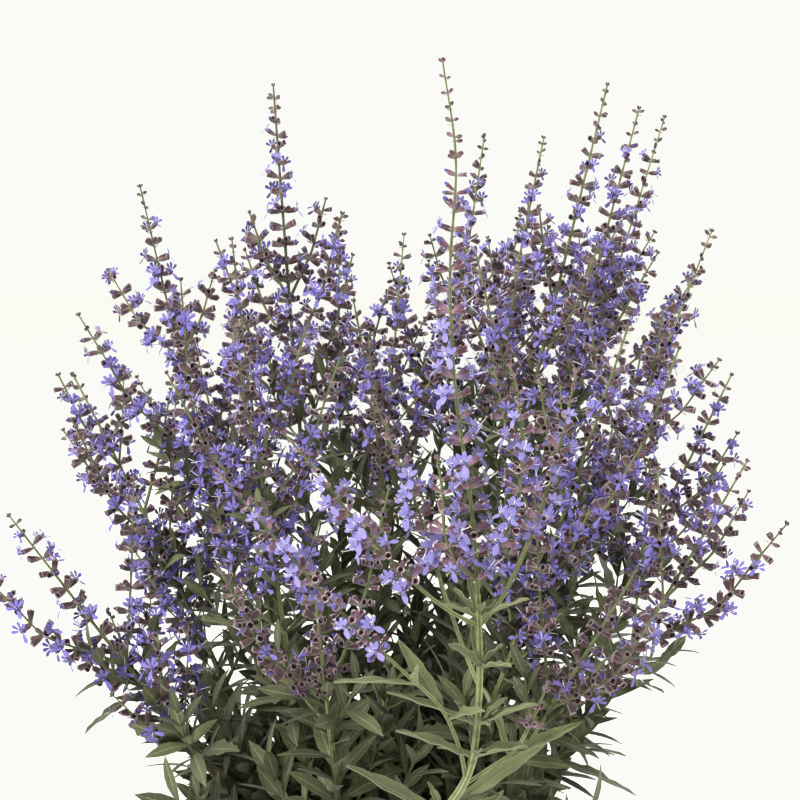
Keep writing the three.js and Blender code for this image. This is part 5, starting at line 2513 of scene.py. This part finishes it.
@dataclass(frozen=True)
class FrontStem:
    """The tall stem in front: its leafy part, its head and its branches."""

    plan: FrontPlan
    leaves: LeafSet
    axis_style: SpikeStyle
    side_style: SpikeStyle
    young_style: SpikeStyle
    palette: Palette
    stem_radii: Pair = (RULE.radius_low, RULE.radius_high)
    stalk_radii: Pair = (RULE.branch_radius * 0.85, RULE.branch_radius * 0.7)
    axis_radii: Pair = (RULE.radius_high * 0.82, RULE.tip_radius * 0.85)
    axis_bare: float = 6.0
    head_spike_radii: Pair = (RULE.branch_radius * 0.7, RULE.tip_radius)
    branch_radii: Pair = (RULE.branch_radius * 0.7, RULE.tip_radius * 0.9)
    branch_flush: float = 0.3
    leaf_slimness: float = 0.76
    leaf_fold: Pair = (0.25, 0.6)
    leaf_sway: float = 0.06
    leaf_twist: float = 0.5
    # The front stem's leaves take the light half of the tones: painted light
    painted_light_tones: Pair = (0.45, 1.0)
    axil_leaves: int = 5
    axil_leaves_from: float = 60.0
    axil_lift: Pair = (20 * DEGREE, 60 * DEGREE)
    axil_length: Pair = (9.0, 21.0)
    axil_width_share: float = 0.24
    axil_turn: float = 0.5
    axil_offset: Pair = (0.0, 2.5)
    axil_droop: Pair = (-0.1, 0.3)
    axil_sway: float = 0.1
    axil_twist: float = 0.6
    axil_tones: Pair = (0.2, 0.8)

    def build(self) -> list[Piece]:
        """Makes the front stem.

        Returns:
            The pieces.
        """
        pieces = [self.leafy_part(), self.head()]
        for i, (name, (line, stalk)) in enumerate(self.plan.branches.items()):
            tissue = Tissue()
            draws = Draws(601 + 17 * i)
            style = self.young_style if name == YOUNG_SHOOT else self.side_style
            Spike(style, tissue, draws, line, stalk, RULE.branch_bare, self.branch_radii).grow()
            pieces.append(self.flowering(tissue, f"front_{name}_bloom", f"front_{name}"))
        return pieces

    def flowering(self, tissue: Tissue, name: str, node: str) -> Piece:
        """Makes a flowering piece that replaces a node.

        Args:
            tissue: What the piece is made of.
            name: The piece's name.
            node: The node that it replaces.

        Returns:
            The piece.
        """
        piece = tissue.piece(name, self.palette)
        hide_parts(node)
        return piece

    def head(self) -> Piece:
        """Makes the head: the top of the stem and the two spikes at its foot.

        Returns:
            The piece.
        """
        tissue = Tissue()
        draws = Draws(541)
        plan = self.plan
        bare, radii = self.axis_bare, self.axis_radii
        Spike(self.axis_style, tissue, draws, plan.line, plan.head_from, bare, radii).grow()
        for line in plan.head_spikes:
            Spike(self.side_style, tissue, draws, line, 0, RULE.side_bare, self.head_spike_radii).grow()
        return self.flowering(tissue, "front_head_bloom", "front_flowers")

    def leafy_part(self) -> Piece:
        """Makes the leafy lower part with the stalks of its branches.

        Returns:
            The piece.
        """
        tissue = Tissue()
        draws = Draws(499)
        plan, stalks = self.plan, self.axis_style.stalks
        # The front stem takes tone 0, the lightest: painted light, as it stands lit in front of the bush
        stalks.bend(tissue, plan.line, 0, plan.head_from, self.stem_radii, plan.nodes, 0.0)
        for line, stalk in plan.branches.values():
            stalks.bend(tissue, line, 0, stalk, self.stalk_radii, (), self.branch_flush)
        for leaf in plan.leaves:
            leaf.stir(draws, self.leaf_sway, self.leaf_twist)
            leaf.width *= self.leaf_slimness
            leaf.fold = draws.between(*self.leaf_fold)
            tissue.add_leaf(leaf, self.leaves.fine, draws.between(*self.painted_light_tones))
        for node in plan.nodes:
            if node > self.axil_leaves_from:
                self.add_axil_leaves(tissue, node, draws)
        piece = tissue.piece("front_foliage", self.palette)
        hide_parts("front_leaves")
        return piece

    def add_axil_leaves(self, tissue: Tissue, node: float, draws: Draws) -> None:
        """Adds the small leaves that stand about a node, between the two large ones.

        Args:
            tissue: Where they go.
            node: Where along the stem the node is.
            draws: The stem's own draws.
        """
        line = self.plan.line
        for i in range(self.axil_leaves):
            angle = i * TURN / self.axil_leaves + draws.about(self.axil_turn)
            along, out, _ = line.frame(node, angle)
            ahead = tilted(out, along, draws.between(*self.axil_lift))
            length = draws.between(*self.axil_length)
            at = node + draws.between(*self.axil_offset)
            width = length * self.axil_width_share
            leaf = Leaf.on(line, at, ahead, length, width, draws.between(*self.axil_droop))
            leaf.stir(draws, self.axil_sway, self.axil_twist)
            leaf.fold = draws.between(*self.leaf_fold)
            tissue.add_leaf(leaf, self.leaves.small, draws.between(*self.axil_tones))


@dataclass(frozen=True)
class Softbox:
    """One soft studio light, in metres."""

    name: str
    place: Triple
    aim: Triple
    size: float
    watts: float

    def build(self) -> None:
        """Hangs the light and aims it."""
        data = bpy.data.lights.new(self.name, "AREA")
        data.shape = "DISK"
        data.size = self.size
        data.energy = self.watts
        light = bpy.data.objects.new(self.name, data)
        bpy.context.scene.collection.objects.link(light)
        light.location = self.place
        way = Vector(self.aim) - Vector(self.place)
        light.rotation_euler = way.to_track_quat("-Z", "Y").to_euler()


@dataclass(frozen=True)
class Studio:
    """The pale floor, the light round the plant and the camera of the photograph."""

    floor_radius: float = 60.0
    world_strength: float = 1.1
    paper: Triple = (0.955, 0.96, 0.92)
    camera_place: Triple = (0.021, -0.640, 0.391)
    pitch_down: float = 5 * DEGREE
    half_view: float = 0.289
    lights: tuple[Softbox, ...] = (
        Softbox("key_light", (-1.3, -1.4, 1.9), (0.0, 0.0, 0.3), 0.8, 62),
        Softbox("back_light", (0.6, 1.7, 1.6), (0.0, 0.0, 0.3), 1.0, 14),
    )

    def floor(self) -> None:
        """Lays the floor, which is only for the picture."""
        bpy.ops.object.select_all(action="DESELECT")
        bpy.ops.mesh.primitive_circle_add(vertices=96, radius=self.floor_radius, fill_type="NGON")
        floor = bpy.context.object
        floor.name = "floor"
        tree = Tree("pale_floor")
        grain = tree.blend(tree.noise(tree.place(), 9), "f4f3f0", "fbfaf8")
        floor.data.materials.append(tree.wear(base_color=grain, roughness=0.9))
        floor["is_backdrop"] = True

    def world(self) -> None:
        """Surrounds the plant with an even white."""
        world = bpy.data.worlds.new("studio")
        world.use_nodes = True
        background = world.node_tree.nodes["Background"]
        background.inputs["Color"].default_value = colour("fdfdfb")
        background.inputs["Strength"].default_value = self.world_strength
        bpy.context.scene.world = world

    def camera(self) -> None:
        """Sets the camera where the photograph was taken from."""
        data = bpy.data.cameras.new("camera")
        data.sensor_fit = "HORIZONTAL"
        data.lens = data.sensor_width / (2 * self.half_view)
        data.clip_start = 0.01
        camera = bpy.data.objects.new("camera", data)
        bpy.context.scene.collection.objects.link(camera)
        camera.location = self.camera_place
        camera.rotation_euler = (TURN / 4 - self.pitch_down, 0, 0)
        bpy.context.scene.camera = camera

    def build(self) -> None:
        """Sets the whole studio up."""
        view = bpy.context.scene.view_settings
        view.view_transform = "Standard"
        view.use_curve_mapping = True
        view.curve_mapping.extend = "HORIZONTAL"
        for curve, white in zip(view.curve_mapping.curves, self.paper):
            curve.points[-1].location = (1.0, white)
        view.curve_mapping.update()
        self.camera()
        self.floor()
        self.world()
        for light in self.lights:
            light.build()


def corners(box: tuple) -> list[list[float]]:
    """Returns a box's two corners as plain lists."""
    return [[round(value, 6) for value in corner] for corner in box]


def main() -> None:
    """Loads the frame and builds each part of the scene in order."""
    logging.basicConfig(level=logging.INFO, format="%(message)s")
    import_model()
    cad_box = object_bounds()
    Studio().build()
    pot = Pot()
    pieces = [pot.build(), *Soil(pot).build()]
    layout = Layout.grown()
    LOG.info("laid out %d stems", len(layout.plants))
    colours = painted(FINISHES)
    # The bush wears the deeper, duller copies of the flower colours: painted shade
    shaded_colours = {**colours, **painted(SHADED_FINISHES)}
    stalks = Stalks()
    leaves = LeafSet.modelled()
    fine = FlowerShapes(Detail.FINE)
    sturdy = {"calyx_radius": 1.34, "mouth_radius": 1.3, "lobe_length": 3.8, "lobe_width": 2.0}
    plain = FlowerShapes(Detail.PLAIN, **sturdy)
    upright = WhorlRule(pitch_low=8.4, threes_until=0.34, twos_until=0.86)
    front = SpikeStyle(fine, stalks, upright, open_share=0.56, downy=True, facing=0.0, flush=(0.45, 0.65))
    branching = WhorlRule(pitch_low=6.9, pitch_tip=3.8, threes_until=0.16, twos_until=0.5)
    front_side = replace(front, rule=branching, open_share=0.45, flush=(0.6, 0.95))
    budding = replace(branching, buds_from=-0.1, shrink_from=-0.5, tip_size=0.5)
    young = replace(front_side, rule=budding, open_share=0.0)
    pieces += FrontStem(layout.front, leaves, front, front_side, young, colours).build()
    full = WhorlRule(tip_size=0.64, shrink_from=0.6, open_until=0.86, buds_from=0.88)
    behind = SpikeStyle(plain, stalks, full, open_share=0.3)
    pieces += Bush(layout, leaves, behind, shaded_colours).build()
    total = 0
    for piece in pieces:
        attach(piece, ROOT_BODY)
        triangles = sum(len(face.vertices) - 2 for face in piece.data.polygons)
        total += triangles
        LOG.info("%s: %d triangles", piece.name, triangles)
    LOG.info("%d pieces, %d triangles", len(pieces), total)
    {"cad": corners(cad_box), "visual": corners(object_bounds())}


if __name__ == "__main__":
    main()
